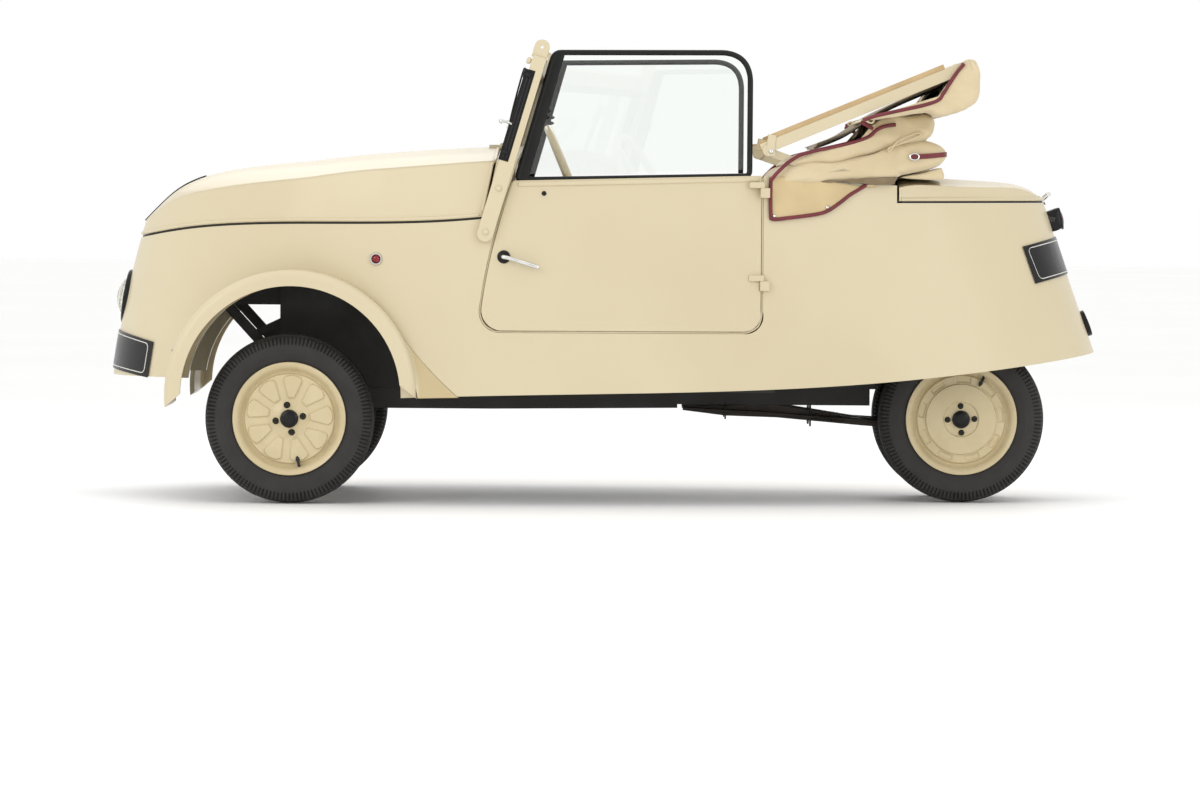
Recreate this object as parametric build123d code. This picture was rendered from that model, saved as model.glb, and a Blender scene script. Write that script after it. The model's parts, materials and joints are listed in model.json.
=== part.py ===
import math
import os

from build123d import *

os.makedirs("parts", exist_ok=True)

# Running gear, in millimetres: +X ahead, +Y to the car's left, +Z up, ground at zero
wheelbase = 1790.0
front_axle_x = 828.0
rear_axle_x = front_axle_x - wheelbase
front_half_track = 455.0
rear_half_track = 165.0
tyre_radius = 224.0
tyre_width = 104.0
hub_z = tyre_radius
bead_radius = 140.3
flange_radius = 149.5
stub_radius = 17.0
fit_gap = 0.1
seat_gap = 0.3

# Body plan: half widths at stations, the same raked shape at every level
wall = 26.0
panel_gap = 6.0
widest_x = 390.0
widest_half = 574.0
nose_power = (1.8, 2.0)
tail_power = (1.56, 2.5)
plan_steps = 7
# level: height, nose tip x, tail tip x, width scale
levels = (
    (240.0, 1343.0, -1396.0, 0.985),
    (620.0, 1279.0, -1256.0, 1.0),
    (980.0, 1165.0, -1138.0, 0.972),
)
reach = 800.0

# Side outline of the panels
nose_bottom_z = 325.0
tail_bottom_z = 349.0
arch_x = 820.0
arch_z = 287.0
arch_radius = 288.0
lip_radius = 331.0
wing_proud = 30.0
wing_half_width = widest_half + wing_proud
door_front_x = 240.0
door_rear_x = -412.0
door_sill_z = 462.0
belt_front_z = 855.0
belt_rear_z = 873.0
bonnet_seam = ((1400.0, 676.0), (1245.0, 698.0), (1150.0, 715.0), (912.0, 735.0), (200.0, 772.0))
bonnet_rear_high = (280.0, 960.0)
split_front_x = 345.0
split_rear_x = -436.0
lid_front_x = -780.0
lid_seam_z = 803.0

# Crowned tops: x, centre height, crown radius, half width of the section
bonnet_top = (
    (1300.0, 640.0, 420.0, 300.0),
    (1243.0, 746.0, 520.0, 340.0),
    (1170.0, 817.0, 800.0, 420.0),
    (1095.0, 858.0, 1050.0, 520.0),
    (1018.0, 879.0, 1370.0, 560.0),
    (940.0, 891.0, 1750.0, 600.0),
    (870.0, 899.0, 2080.0, 640.0),
    (800.0, 906.0, 2390.0, 660.0),
    (720.0, 916.0, 2750.0, 680.0),
    (640.0, 925.0, 3060.0, 700.0),
    (560.0, 932.0, 3260.0, 700.0),
    (480.0, 938.0, 3430.0, 700.0),
    (380.0, 944.5, 3620.0, 700.0),
    (278.0, 949.0, 3780.0, 700.0),
    (120.0, 955.0, 3900.0, 700.0),
)
lid_top = (
    (-640.0, 884.0, 2700.0, 520.0),
    (-817.0, 877.0, 2600.0, 500.0),
    (-940.0, 870.0, 2300.0, 480.0),
    (-1076.0, 862.0, 1800.0, 440.0),
    (-1144.0, 846.0, 1100.0, 360.0),
    (-1186.0, 818.0, 700.0, 320.0),
    (-1225.0, 770.0, 560.0, 300.0),
)
bonnet_skin = 16.0
lid_skin = 16.0
cap_base = 300.0
core_base = 290.0
badge_half = 32.0
badge_thick = 4.0
plate_thick = 4.0
lip_thick = 12.0

# Windscreen: straps up the outside of the scuttle, raked back
screen_rake = 16.5
screen_x = 272.0
screen_z = 854.0
strap_width = 42.0
strap_inner_y = 560.0
strap_outer_y = 586.0
strap_low = -166.0
sash_low = 52.0
sash_high = 298.0
header_high = 340.0
lug_hole_radius = 4.0

# Doors and their windows
hinge_x = -415.0
hinge_y = 496.0
hinge_heights = (570.0, 815.0)
hinge_radius = 6.0
hinge_clear = 8.0
window_top_z = 1192.0
window_bar = 15.0

# Chassis
rail_half = 245.0
rail_width = 50.0
rail_low = 246.0
rail_high = 300.0
rail_front_x = 1030.0
rail_bend_x = 300.0
rail_close_x = -200.0
rail_rear_x = -720.0
rail_rear_half = 84.0
rail_rear_low = 256.0
cross_xs = (1000.0, 828.0, 420.0)
floor_low = 300.3
floor_high = 312.0
bulkhead_x = 566.0
tray_z = 520.0
tray_front_x = 1110.0
boot_floor_z = 540.0
shaft_radius = 20.0
motor_radius = 90.0
kingpin_y = 385.0
kingpin_radius = 12.0

# Steering wheel
wheel_x = 80.0
wheel_y = 225.0
wheel_z = 820.0
wheel_rake = 22.6
wheel_rim_radius = 190.0

# Seat and lamp
cushion_top = 470.0
lamp_x = 1290.0
lamp_z = 534.0
lamp_rake = 9.0
lamp_radius = 73.7
lens_radius = 61.0
lens_sag = 36.0


def normal_shift(points, inset):
    moved = [(points[0][0] - inset, 0.0)]
    for before, here, after in zip(points, points[1:], points[2:]):
        run = after[0] - before[0]
        rise = after[1] - before[1]
        size = math.hypot(run, rise)
        moved.append((here[0] + inset * rise / size * -1.0, here[1] + inset * run / size))
    moved.append((points[-1][0] + inset, 0.0))
    return moved


def quarter(tip_x, powers, scale):
    points = []
    for step in range(plan_steps):
        turn = math.pi / 2 * step / plan_steps
        x = widest_x + (tip_x - widest_x) * math.cos(turn) ** (2 / powers[0])
        points.append((x, widest_half * scale * math.sin(turn) ** (2 / powers[1])))
    return points


def plan_face(level, inset):
    z, nose_x, tail_x, scale = level
    nose = quarter(nose_x, nose_power, scale)
    tail = quarter(tail_x, tail_power, scale)
    points = nose + [(widest_x, widest_half * scale)] + tail[::-1]
    square_ends = [(0.0, 1.0), (0.0, -1.0)]
    left = Spline(*normal_shift(points, inset), tangents=square_ends, tangent_scalars=[1.0, 1.0])
    right = mirror(left, about=Plane.XZ)
    return Plane.XY.offset(z) * make_face([left, right])


def hull(inset):
    return loft([plan_face(level, inset) for level in levels])


def section_face(x, top_z, radius, half, base_z):
    drop = radius - math.sqrt(radius * radius - half * half)
    plane = Plane(origin=(x, 0.0, 0.0), x_dir=(0.0, 1.0, 0.0), z_dir=(1.0, 0.0, 0.0))
    top = ThreePointArc((-half, top_z - drop), (0.0, top_z), (half, top_z - drop))
    sides = Polyline((half, top_z - drop), (half, base_z), (-half, base_z), (-half, top_z - drop))
    return plane * make_face([top, sides])


def crowned(rows, lift, base_z):
    return loft([section_face(x, z + lift, radius, half, base_z) for x, z, radius, half in rows])


def side_face(*points):
    return make_face(Polyline(*points, close=True))


def across(face, y0, y1):
    placed = Plane.XZ.offset(-y0) * face
    return extrude(placed, amount=y1 - y0, dir=(0.0, 1.0, 0.0))


def box(x0, x1, y0, y1, z0, z1):
    return Pos((x0 + x1) / 2, (y0 + y1) / 2, (z0 + z1) / 2) * Box(x1 - x0, y1 - y0, z1 - z0)


def rod_y(x, z, radius, y0, y1):
    return Pos(x, (y0 + y1) / 2, z) * Rot(90, 0, 0) * Cylinder(radius, y1 - y0)


def rod(start, end, radius):
    a = Vector(start)
    b = Vector(end)
    along = Plane(origin=(a + b) * 0.5, z_dir=b - a)
    return along * Cylinder(radius, (b - a).length)


def bar(start, end, width, depth):
    a = Vector(start)
    b = Vector(end)
    along = Plane(origin=(a + b) * 0.5, x_dir=(0.0, 1.0, 0.0), z_dir=b - a)
    return along * Box(width, depth, (b - a).length)


def both_sides(piece):
    return piece, mirror(piece, about=Plane.XZ)


def save(name, *pieces):
    solids = []
    for piece in pieces:
        solids.extend(piece.solids())
    shape = solids[0] if len(solids) == 1 else Compound(children=solids)
    export_step(shape, "parts/" + name + ".step")


# Hull solids
outer = hull(0.0)
inner = hull(wall)
inside = hull(wall + seat_gap)
shell = outer - inner

# Side outlines of the body
seam_curve = Spline(*bonnet_seam)
below_seam = across(
    make_face([seam_curve, Polyline(bonnet_seam[-1], (200.0, 200.0), (1400.0, 200.0), bonnet_seam[0])]),
    -reach, reach,
)
above_seam = across(
    make_face([Pos(0.0, panel_gap) * seam_curve,
               Polyline((200.0, 772.0 + panel_gap), (200.0, 1100.0), (1400.0, 1100.0), (1400.0, 676.0 + panel_gap))]),
    -reach, reach,
)
sill_curve = Spline((560.0, 281.5), (-100.0, 299.0), (-675.0, 323.0), (-949.0, tail_bottom_z), (-1420.0, 420.0))
under_sill = across(
    make_face([sill_curve, Polyline((-1420.0, 420.0), (-1420.0, 200.0), (560.0, 200.0), (560.0, 281.5))]),
    -reach, reach,
)
under_nose = box(700.0, 1500.0, -reach, reach, 200.0, nose_bottom_z)
arch_cut = rod_y(arch_x, arch_z, arch_radius, -reach, reach)
arch_cut += box(arch_x - arch_radius, arch_x + arch_radius, -reach, reach, 200.0, arch_z)


def door_outline(gap):
    front = ThreePointArc((door_front_x + gap, belt_front_z), (290.0 + gap, 690.0), (322.0 + gap, 520.0))
    low_front = ThreePointArc((322.0 + gap, 520.0), (309.0 + gap, 481.0 - gap), (272.0, door_sill_z - gap))
    rest = Polyline((272.0, door_sill_z - gap), (-366.0, door_sill_z - gap))
    low_rear = ThreePointArc((-366.0, door_sill_z - gap), (-402.0 - gap, 478.0 - gap), (door_rear_x - gap, 516.0))
    rear = Polyline((door_rear_x - gap, 516.0), (door_rear_x - gap, belt_rear_z), (door_front_x + gap, belt_front_z))
    return make_face([front, low_front, rest, low_rear, rear])


door_prism = across(door_outline(0.0), 200.0, reach)
door_hole = across(door_outline(panel_gap), -reach, reach)
belt_cut = across(
    side_face((door_front_x, belt_front_z), (door_rear_x - panel_gap, belt_rear_z),
              (door_rear_x - panel_gap, 1100.0), (door_front_x, 1100.0)),
    -reach, reach,
)

# Front body: nose and cowl sides under the bonnet seam
scuttle_band = across(
    side_face((331.5 - panel_gap, 700.0), (bonnet_rear_high[0] - panel_gap, bonnet_rear_high[1]),
              (bonnet_rear_high[0] - panel_gap, 990.0), (205.0, 990.0), (door_front_x + panel_gap, belt_front_z),
              (260.0, 700.0)),
    -reach, reach,
)
front_body = shell & below_seam & box(split_front_x, 1500.0, -reach, reach, 200.0, 1000.0)
front_body = front_body - under_nose - arch_cut - under_sill
lamp_tilt = math.radians(lamp_rake)
lamp_axis = Plane(origin=(lamp_x, 0.0, lamp_z), z_dir=(math.cos(lamp_tilt), 0.0, math.sin(lamp_tilt)))
lamp_hole = lamp_axis * Cylinder(lamp_radius + seat_gap, 200.0)
front_body = front_body - lamp_hole
save("front_body", front_body)

# Sills with the door pillars' feet, one each side
sill_zone = box(door_front_x, split_front_x, -reach, reach, 200.0, 900.0) & below_seam
sill_zone += box(split_rear_x, door_front_x, -reach, reach, 200.0, 500.0)
sill_zone += box(split_rear_x, door_rear_x, -reach, reach, 400.0, 872.0)
sills = (shell & sill_zone) - under_sill - door_hole

# Scuttle band behind the bonnet, carrying the screen
bonnet_cap = crowned(bonnet_top, 0.0, cap_base)
cowl = outer & bonnet_cap
cowl_proud = outer & crowned(bonnet_top, seat_gap, cap_base)
scuttle = cowl & scuttle_band & Pos(0.0, 0.0, seat_gap - panel_gap) * above_seam
scuttle = scuttle - (inner & crowned(bonnet_top, -wall, core_base)) - door_hole
bonnet_pin = (bonnet_rear_high[0] - panel_gap / 2, 951.0)
for side in (1.0, -1.0):
    fixed = sorted((side * 150.0, side * 190.0))
    moving = sorted((side * 191.0, side * 207.0))
    scuttle = scuttle - rod_y(*bonnet_pin, hinge_clear, moving[0] - 1.0, moving[1] + 1.0)
    relief = box(bonnet_pin[0], bonnet_pin[0] + 20.0, moving[0] - 1.0, moving[1] + 1.0, 925.0, bonnet_pin[1])
    scuttle = scuttle - relief
    scuttle += rod_y(*bonnet_pin, hinge_radius, *fixed)
    scuttle += box(bonnet_pin[0] - 16.0, bonnet_pin[0], *fixed, 934.0, bonnet_pin[1])
save("scuttle", scuttle)

# Bonnet: one shell, hinged at the rear edge
bonnet = cowl & above_seam
bonnet = bonnet - across(
    side_face((331.5, 700.0), bonnet_rear_high, (bonnet_rear_high[0], 1200.0), (0.0, 1200.0), (0.0, 700.0)),
    -reach, reach)
bonnet = bonnet - (hull(bonnet_skin) & crowned(bonnet_top, -bonnet_skin, core_base))
for side in (1.0, -1.0):
    fixed = sorted((side * 149.0, side * 190.5))
    moving = sorted((side * 191.0, side * 207.0))
    bonnet = bonnet - rod_y(*bonnet_pin, hinge_clear, *fixed)
    bonnet += rod_y(*bonnet_pin, hinge_radius, *moving)
    bonnet += box(bonnet_pin[0], bonnet_pin[0] + 34.0, *moving, 936.0, bonnet_pin[1] + 1.0)
save("bonnet", bonnet)
badge_zone = box(1085.0, 1300.0, -badge_half, badge_half, 742.0, 900.0)
badge = (hull(-badge_thick) & crowned(bonnet_top, badge_thick, cap_base) & badge_zone) - cowl
save("nose_badge", badge)

# Tail body, with the step down to the boot lid seam
tail_top = across(
    side_face((split_rear_x, 872.0), (lid_front_x + panel_gap, 850.0), (lid_front_x + panel_gap, lid_seam_z),
              (-1420.0, lid_seam_z + 6.0), (-1420.0, 200.0), (split_rear_x, 200.0)),
    -reach, reach)
tail_body = (shell & tail_top) - under_sill
save("tail_body", tail_body)

# Boot lid, an inverted tray hinged at its front edge
lid_pin = (lid_front_x + 1.0, 882.0)
lid_zone = across(
    side_face((lid_front_x, lid_seam_z + panel_gap), (lid_front_x, 1000.0), (-1420.0, 1000.0),
              (-1420.0, lid_seam_z + 6.0 + panel_gap)), -reach, reach)
lid = outer & crowned(lid_top, 0.0, cap_base) & lid_zone
lid_core = hull(lid_skin) & crowned(lid_top, -lid_skin, core_base)
lid = lid - (lid_core & box(-1420.0, lid_front_x - lid_skin, -reach, reach, 600.0, 1000.0))
for side in (1.0, -1.0):
    moving = sorted((side * 170.4, side * 187.0))
    lid += rod_y(*lid_pin, hinge_radius, *moving)
    lid += box(lid_pin[0] - 45.0, lid_pin[0], *moving, 864.0, lid_pin[1])
save("boot_lid", lid)

# Rear deck: seat wall, hood shelf, boot floor and the lid's fixed hinge straps
deck = inside & box(-452.0, -440.0, -reach, reach, floor_low, 846.0)
deck += inside & box(lid_front_x + panel_gap, -440.0, -reach, reach, 838.0, 846.0)
deck += inside & box(-1300.0, -440.0, -reach, reach, boot_floor_z, boot_floor_z + 8.0)
for side in (1.0, -1.0):
    fixed = sorted((side * 130.0, side * 170.0))
    deck += box(lid_front_x + panel_gap, lid_front_x + 14.0, *fixed, 838.0, lid_pin[1])
    deck += rod_y(*lid_pin, hinge_radius, *fixed)
    deck += box(lid_pin[0], lid_front_x + panel_gap, *fixed, lid_pin[1] - 5.0, lid_pin[1] + 5.0)
save("rear_deck", deck)

# Doors on rear hinges, barrels proud of the skin
door_left = shell & door_prism
for low in hinge_heights:
    door_left = door_left - Pos(hinge_x, hinge_y, low + 12.5) * Cylinder(hinge_clear, 25.8)
    sills = sills - Pos(hinge_x, hinge_y, low + 33.25) * Cylinder(hinge_clear, 16.3)
    sills += box(hinge_x - 19.0, hinge_x, hinge_y - 26.0, hinge_y + 5.0, low, low + 25.0)
    sills += Pos(hinge_x, hinge_y, low + 12.5) * Cylinder(hinge_radius, 25.0)
    door_left += box(hinge_x, hinge_x + 35.0, hinge_y - 26.0, hinge_y + 5.0, low + 25.5, low + 41.0)
    door_left += Pos(hinge_x, hinge_y, low + 33.25) * Cylinder(hinge_radius, 15.5)
right_fixed = mirror(sills, about=Plane.XZ)
save("side_sills", *[solid for solid in sills.solids() if solid.center().Y > 0.0],
     *[solid for solid in right_fixed.solids() if solid.center().Y < 0.0])
save("door_left", door_left)
save("door_right", mirror(door_left, about=Plane.XZ))

# Door windows: a flat tube frame standing in the door's top edge
window_plane = Plane(origin=(230.0, 546.0, 0.0), x_dir=(-615.0, -84.0, 0.0), z_dir=(-84.0, 615.0, 0.0))
window_outline = side_face(
    (-8.0, 856.0), (90.0, window_top_z + 7.0), (624.0, window_top_z + 12.0), (624.0, 873.4))
corners = window_outline.vertices().sort_by(Axis.Y)
rounded = fillet([corners[-1]], 80.0)
opening = offset(rounded, -window_bar)
window_frame = extrude(window_plane * (rounded - opening), amount=window_bar / 2, both=True)
window_glass = extrude(window_plane * offset(rounded, -window_bar - seat_gap), amount=2.0, both=True)
save("door_left_window_frame", window_frame)
save("door_right_window_frame", mirror(window_frame, about=Plane.XZ))
save("door_left_glass", window_glass)
save("door_right_glass", mirror(window_glass, about=Plane.XZ))
handle = rod_y(264.0, 655.0, 17.5, 540.0, 580.0) - outer
handle += rod_y(264.0, 655.0, 6.0, 578.0, 596.0)
handle += rod((268.0, 592.0, 656.0), (190.0, 592.0, 632.0), 5.5)
save("door_left_handle", handle)
save("door_right_handle", mirror(handle, about=Plane.XZ))

def wing_ring():
    plane = Plane(origin=(arch_x, 0.0, arch_z), x_dir=(0.0, 1.0, 0.0), z_dir=(1.0, 0.0, 0.0))
    edge = wing_half_width
    outside = Polyline((240.0, lip_radius), (edge - 20.0, lip_radius))
    corner = ThreePointArc((edge - 20.0, lip_radius), (edge - 6.0, lip_radius - 6.0), (edge, lip_radius - 20.0))
    lip = Polyline((edge, lip_radius - 20.0), (edge, arch_radius), (edge - lip_thick, arch_radius),
                   (edge - lip_thick, lip_radius - 20.0))
    inner_corner = ThreePointArc((edge - lip_thick, lip_radius - 20.0), (edge - 16.0, lip_radius - 15.0),
                                 (edge - 22.0, lip_radius - lip_thick))
    roof = Polyline((edge - 22.0, lip_radius - lip_thick), (240.0, lip_radius - lip_thick), (240.0, lip_radius))
    ring_face = plane * make_face([outside, corner, lip, inner_corner, roof])
    return revolve(ring_face, Axis((arch_x, 0.0, arch_z), (0.0, 1.0, 0.0)))


# Front wings: flared lips bolted round the arches, with the fairing behind
wing_ends = across(
    side_face((1200.0, 211.0), (1104.0, 294.0), (900.0, 294.0), (700.0, 321.0), (539.0, 321.0), (440.0, 243.0),
              (440.0, -100.0), (1200.0, -100.0)), 0.0, reach)
wing = wing_ring() - wing_ends - outer
apex = Vector(573.0, 556.0, 512.0)
foot = Vector(371.0, 566.0, 283.0)
proud = Vector(488.0, 599.0, 283.0)
slope = (foot - apex).cross(proud - apex)
slope = slope if slope.Y > 0.0 else slope * -1.0
fairing = across(
    side_face((582.0, 520.0), (553.0, 481.0), (511.0, 402.0), (486.0, 283.5), (371.0, 285.0)), 400.0, 640.0)
fairing = split(fairing, bisect_by=Plane(origin=apex, z_dir=slope), keep=Keep.BOTTOM) - outer
fairing = fairing - rod_y(arch_x, arch_z, lip_radius - 2.0, 300.0, reach)
wing += fairing
wing = max(wing.solids(), key=lambda solid: solid.volume)
save("front_wings", *both_sides(wing))

# Inner wheel houses behind the front wheels
house = rod_y(arch_x, arch_z, arch_radius + 8.0, 262.0, reach)
house = house - rod_y(arch_x, arch_z, arch_radius + 2.0, 268.0, reach)
house = house & box(500.0, 866.0, 200.0, reach, rail_high + seat_gap, 700.0) & inside
house = house - box(front_axle_x - 30.0, front_axle_x + 30.0, 200.0, 300.0, 200.0, 345.0)
save("wheel_houses", *both_sides(house))

# Chassis: rails that close in towards the narrow rear axle, cross members, front struts
half = rail_width / 2
rail_plan = Polyline(
    (rail_front_x, rail_half - half), (rail_front_x, rail_half + half), (rail_bend_x, rail_half + half),
    (rail_close_x, rail_rear_half + half), (rail_rear_x, rail_rear_half + half), (rail_rear_x, rail_rear_half - half),
    (rail_close_x, rail_rear_half - half), (rail_bend_x, rail_half - half), close=True)
rail = extrude(Plane.XY.offset(rail_low) * make_face(rail_plan), amount=rail_high - rail_low)
rail = rail - box(rail_rear_x - 10.0, rail_close_x, 0.0, 200.0, 200.0, rail_rear_low)
frame = rail + mirror(rail, about=Plane.XZ)
for x in cross_xs:
    frame += box(x - 25.0, x + 25.0, -rail_half, rail_half, rail_low + 6.0, rail_high - 2.0)
frame += box(rail_rear_x, rail_rear_x + 50.0, -rail_rear_half, rail_rear_half, rail_rear_low, rail_high - 2.0)
for side in (1.0, -1.0):
    y = side * (rail_half - 8.0)
    below_tray = box(700.0, 1200.0, -reach, reach, 290.0, tray_z - seat_gap)
    frame += bar((866.0, y, 362.0), (1020.0, y, tray_z + 10.0), 26.0, 26.0) & below_tray
    frame += bar((940.0, y, 437.0), (862.0, y, 474.0), 22.0, 22.0)
    frame += bar((872.0, y, 470.0), (872.0, y, rail_high - 4.0), 22.0, 30.0)
save("chassis_frame", frame)

# Cabin floor and front bulkhead with its battery tray
floor = inside & box(-440.0 + seat_gap, bulkhead_x - seat_gap, -reach, reach, floor_low, floor_high)
for side in (1.0, -1.0):
    floor = floor - box(510.0, 700.0, *sorted((side * 258.0, side * reach)), 200.0, 400.0)
save("cabin_floor", floor)
bulkhead = inside & crowned(bonnet_top, -32.0, cap_base)
bulkhead = bulkhead & box(bulkhead_x, bulkhead_x + 12.0, -reach, reach, floor_low, 1000.0)
for side in (1.0, -1.0):
    bulkhead = bulkhead - box(500.0, 700.0, *sorted((side * 258.0, side * reach)), 200.0, 460.0)
    bulkhead += box(bulkhead_x, tray_front_x, *sorted((side * 249.0, side * 255.0)), tray_z, tray_z + 60.0)
bulkhead += box(bulkhead_x, tray_front_x, -255.0, 255.0, tray_z, tray_z + 6.0)
save("bulkhead", bulkhead)
cells = []
for x in (590.0, 850.0):
    for y in (-240.0, 8.0):
        cells.append(box(x, x + 250.0, y, y + 232.0, tray_z + 6.3, tray_z + 225.0))
save("batteries", *cells)

# Dashboard under the scuttle
dash = inside & crowned(bonnet_top, -wall - seat_gap, cap_base) & box(236.0, 248.0, -518.0, 518.0, 795.0, 1000.0)
save("dashboard", dash)

# Windscreen: straps and header, black sash, glass
rake = math.radians(screen_rake)
ahead = (math.cos(rake), 0.0, math.sin(rake))
screen = Plane(origin=(screen_x, 0.0, screen_z), x_dir=(0.0, 1.0, 0.0), z_dir=ahead)


def screen_box(u0, u1, v0, v1, n0, n1):
    return screen * Pos((u0 + u1) / 2, (v0 + v1) / 2, (n0 + n1) / 2) * Box(u1 - u0, v1 - v0, n1 - n0)


def screen_pin(v, n, radius, u0, u1):
    return screen * Pos((u0 + u1) / 2, v, n) * Rot(0, 90, 0) * Cylinder(radius, u1 - u0)


half_strap = strap_width / 2
strap = screen_box(strap_inner_y, strap_outer_y, strap_low + half_strap, sash_low, -half_strap, half_strap)
strap += screen_pin(strap_low + half_strap, 0.0, half_strap, strap_inner_y, strap_outer_y)
strap += screen_box(strap_inner_y, strap_outer_y, sash_low, header_high, -half_strap, -3.0)
lug = screen_box(574.0, 582.0, header_high - 5.0, header_high + 25.0, -half_strap, half_strap - 2.0)
lug += screen_pin(header_high + 25.0, -1.0, half_strap - 1.0, 574.0, 582.0)
lug = lug - screen_pin(header_high + 25.0, -1.0, lug_hole_radius, 560.0, 600.0)
strap += lug
screen_frame = strap - cowl
screen_frame += mirror(screen_frame, about=Plane.XZ)
screen_frame += screen_box(-strap_outer_y, strap_outer_y, sash_high + 2.0, header_high, -half_strap, 15.0)
screen_frame = screen_frame - cowl
save("windscreen_frame", screen_frame)
sash = screen_box(-strap_outer_y + 2.0, strap_outer_y - 2.0, sash_low + seat_gap, sash_high + 1.7, -2.7, 24.0)
pane_half = strap_inner_y - 6.0
pane_low = sash_low + 26.0
pane_high = sash_high - 24.0
sash = sash - screen_box(-pane_half, pane_half, pane_low, pane_high, -20.0, 40.0) - cowl_proud
save("windscreen_sash", sash)
pane_half -= seat_gap
pane = screen_box(-pane_half, pane_half, pane_low + seat_gap, pane_high - seat_gap, 8.0, 13.0) - cowl_proud
save("windscreen_glass", pane)

# Bench seat
seat_plan = Polyline((105.0, 470.0), (105.0, -470.0), (-318.0, -430.0), (-318.0, 430.0), close=True)
cushion = extrude(Plane.XY.offset(floor_high + seat_gap) * make_face(seat_plan), amount=cushion_top - floor_high)
cushion = fillet(cushion.faces().sort_by(Axis.Z)[-1].edges(), 30.0)
save("seat_cushion", cushion)
rest_low = cushion_top + 2 * seat_gap
rest = across(side_face((-228.0, rest_low), (-330.0, rest_low), (-428.0, 792.0), (-344.0, 812.0)), -425.0, 425.0)
rest = fillet(rest.edges().filter_by(Axis.Y).sort_by(Axis.Z)[-2:], 30.0)
save("seat_back", rest)

# Steering column and wheel
wheel_tilt = math.radians(wheel_rake)
to_driver = Vector(-math.cos(wheel_tilt), 0.0, math.sin(wheel_tilt))
wheel_centre = Vector(wheel_x, wheel_y, wheel_z)
wheel_plane = Plane(origin=wheel_centre, x_dir=(0.0, 1.0, 0.0), z_dir=to_driver)
column_top = wheel_centre - to_driver * 20.5
column_end = wheel_centre - to_driver * 560.0
column = rod(column_top, column_end, 17.0) & box(0.0, bulkhead_x - seat_gap, 0.0, 400.0, 400.0, 900.0)
column += box(236.0, 248.0, wheel_y - 12.0, wheel_y + 12.0, 755.0, 795.0 - seat_gap)
save("steering_column", column)
steering = wheel_plane * Torus(wheel_rim_radius, 11.0)
steering += wheel_plane * Pos(0.0, 0.0, -2.5) * Cylinder(28.0, 35.0)
for turn in (0.0, 120.0, 240.0):
    spoke = Pos(wheel_rim_radius / 2 + 8.0, 0.0, 0.0) * Box(wheel_rim_radius - 20.0, 26.0, 9.0)
    steering += wheel_plane * Rot(0, 0, turn) * spoke
save("steering_wheel", steering)

# Pedals and hand brake
levers = []
for y in (105.0, 200.0):
    arm = rod((bulkhead_x + 10.0, y, 485.0), (512.0, y, 398.0), 8.0)
    arm = arm & box(0.0, bulkhead_x - seat_gap, -400.0, 400.0, 300.0, 600.0)
    arm += Plane(origin=(508.0, y, 392.0), z_dir=(1.0, 0.0, -0.7)) * Box(62.0, 60.0, 14.0)
    levers.append(arm)
brake = rod((150.0, 0.0, floor_high + seat_gap), (150.0, 0.0, floor_high + 25.0), 24.0)
brake += rod((150.0, 0.0, floor_high + 18.0), (118.0, 0.0, 545.0), 8.0)
brake += rod((123.0, 0.0, 505.0), (110.0, 0.0, 610.0), 13.0)
save("controls", *levers, brake)

# Headlamp in the nose
lamp = lamp_axis * Pos(0.0, 0.0, -36.0) * Cylinder(lamp_radius, 88.0)
lamp = lamp - lamp_axis * Pos(0.0, 0.0, -26.0) * Cylinder(lens_radius + seat_gap, 72.0)
save("headlamp", lamp)
lens_ball = (lens_radius ** 2 + lens_sag ** 2) / (2 * lens_sag)
lens = lamp_axis * Pos(0.0, 0.0, lens_sag - lens_ball) * Sphere(lens_ball)
lens = lens - lamp_axis * Pos(0.0, 0.0, lens_sag - lens_ball - 5.0) * Sphere(lens_ball)
lens = lens & lamp_axis * Pos(0.0, 0.0, 50.0) * Cylinder(lens_radius, 100.0)
lens += lamp_axis * Pos(0.0, 0.0, -10.0) * (Cylinder(lens_radius, 20.0) - Cylinder(lens_radius - 5.0, 20.0))
save("headlamp_lens", lens)

# Blank number plates wrapped round nose and stern
plate_skin = hull(-plate_thick) - outer
front_plate = plate_skin & across(
    side_face((1360.0, 456.0), (1205.0, 418.0), (1220.0, 322.0), (1375.0, 350.0)), -reach, reach)
rear_plate = plate_skin & across(
    side_face((-1120.0, 690.0), (-1300.0, 735.0), (-1340.0, 638.0), (-1156.0, 591.0)), -reach, reach)
save("number_plates", front_plate, rear_plate)

# Tail lamp and low reflector on the stern
tail_lamp = across(
    side_face((-1160.0, 780.0), (-1198.0, 784.0), (-1236.0, 797.0), (-1248.0, 740.0), (-1219.0, 729.0),
              (-1180.0, 729.0)), -36.0, 36.0) - outer
stern = Plane(origin=(-1316.0, 0.0, 483.0), z_dir=(-0.9, 0.0, 0.36))
reflector = stern * Pos(0.0, 0.0, -20.0) * Cylinder(37.0, 42.0) - outer
save("tail_lamps", tail_lamp, reflector)

# Folded hood: side rails, header bow, arms down to the body, canvas folds
frame_arms = []
for side in (1.0, -1.0):
    rail_bar = bar((-412.0, side * 470.0, 942.0), (-958.0, side * 500.0, 1168.0), 22.0, 30.0)
    arm = bar((-424.0, side * 470.0, 938.0), (-610.0, side * 426.0, 872.0), 12.0, 22.0)
    arm = arm & box(-800.0, -300.0, -reach, reach, 866.5, 1000.0)
    knuckle = rod_y(-430.0, 940.0, 16.0, side * 470.0 - 14.0, side * 470.0 + 14.0)
    frame_arms.extend([rail_bar, arm, knuckle])
hood_frame = rod_y(-958.0, 1168.0, 13.0, -505.0, 505.0)
for piece in frame_arms:
    hood_frame += piece
hood_frame = hood_frame - tail_body
save("hood_frame", hood_frame)


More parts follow.
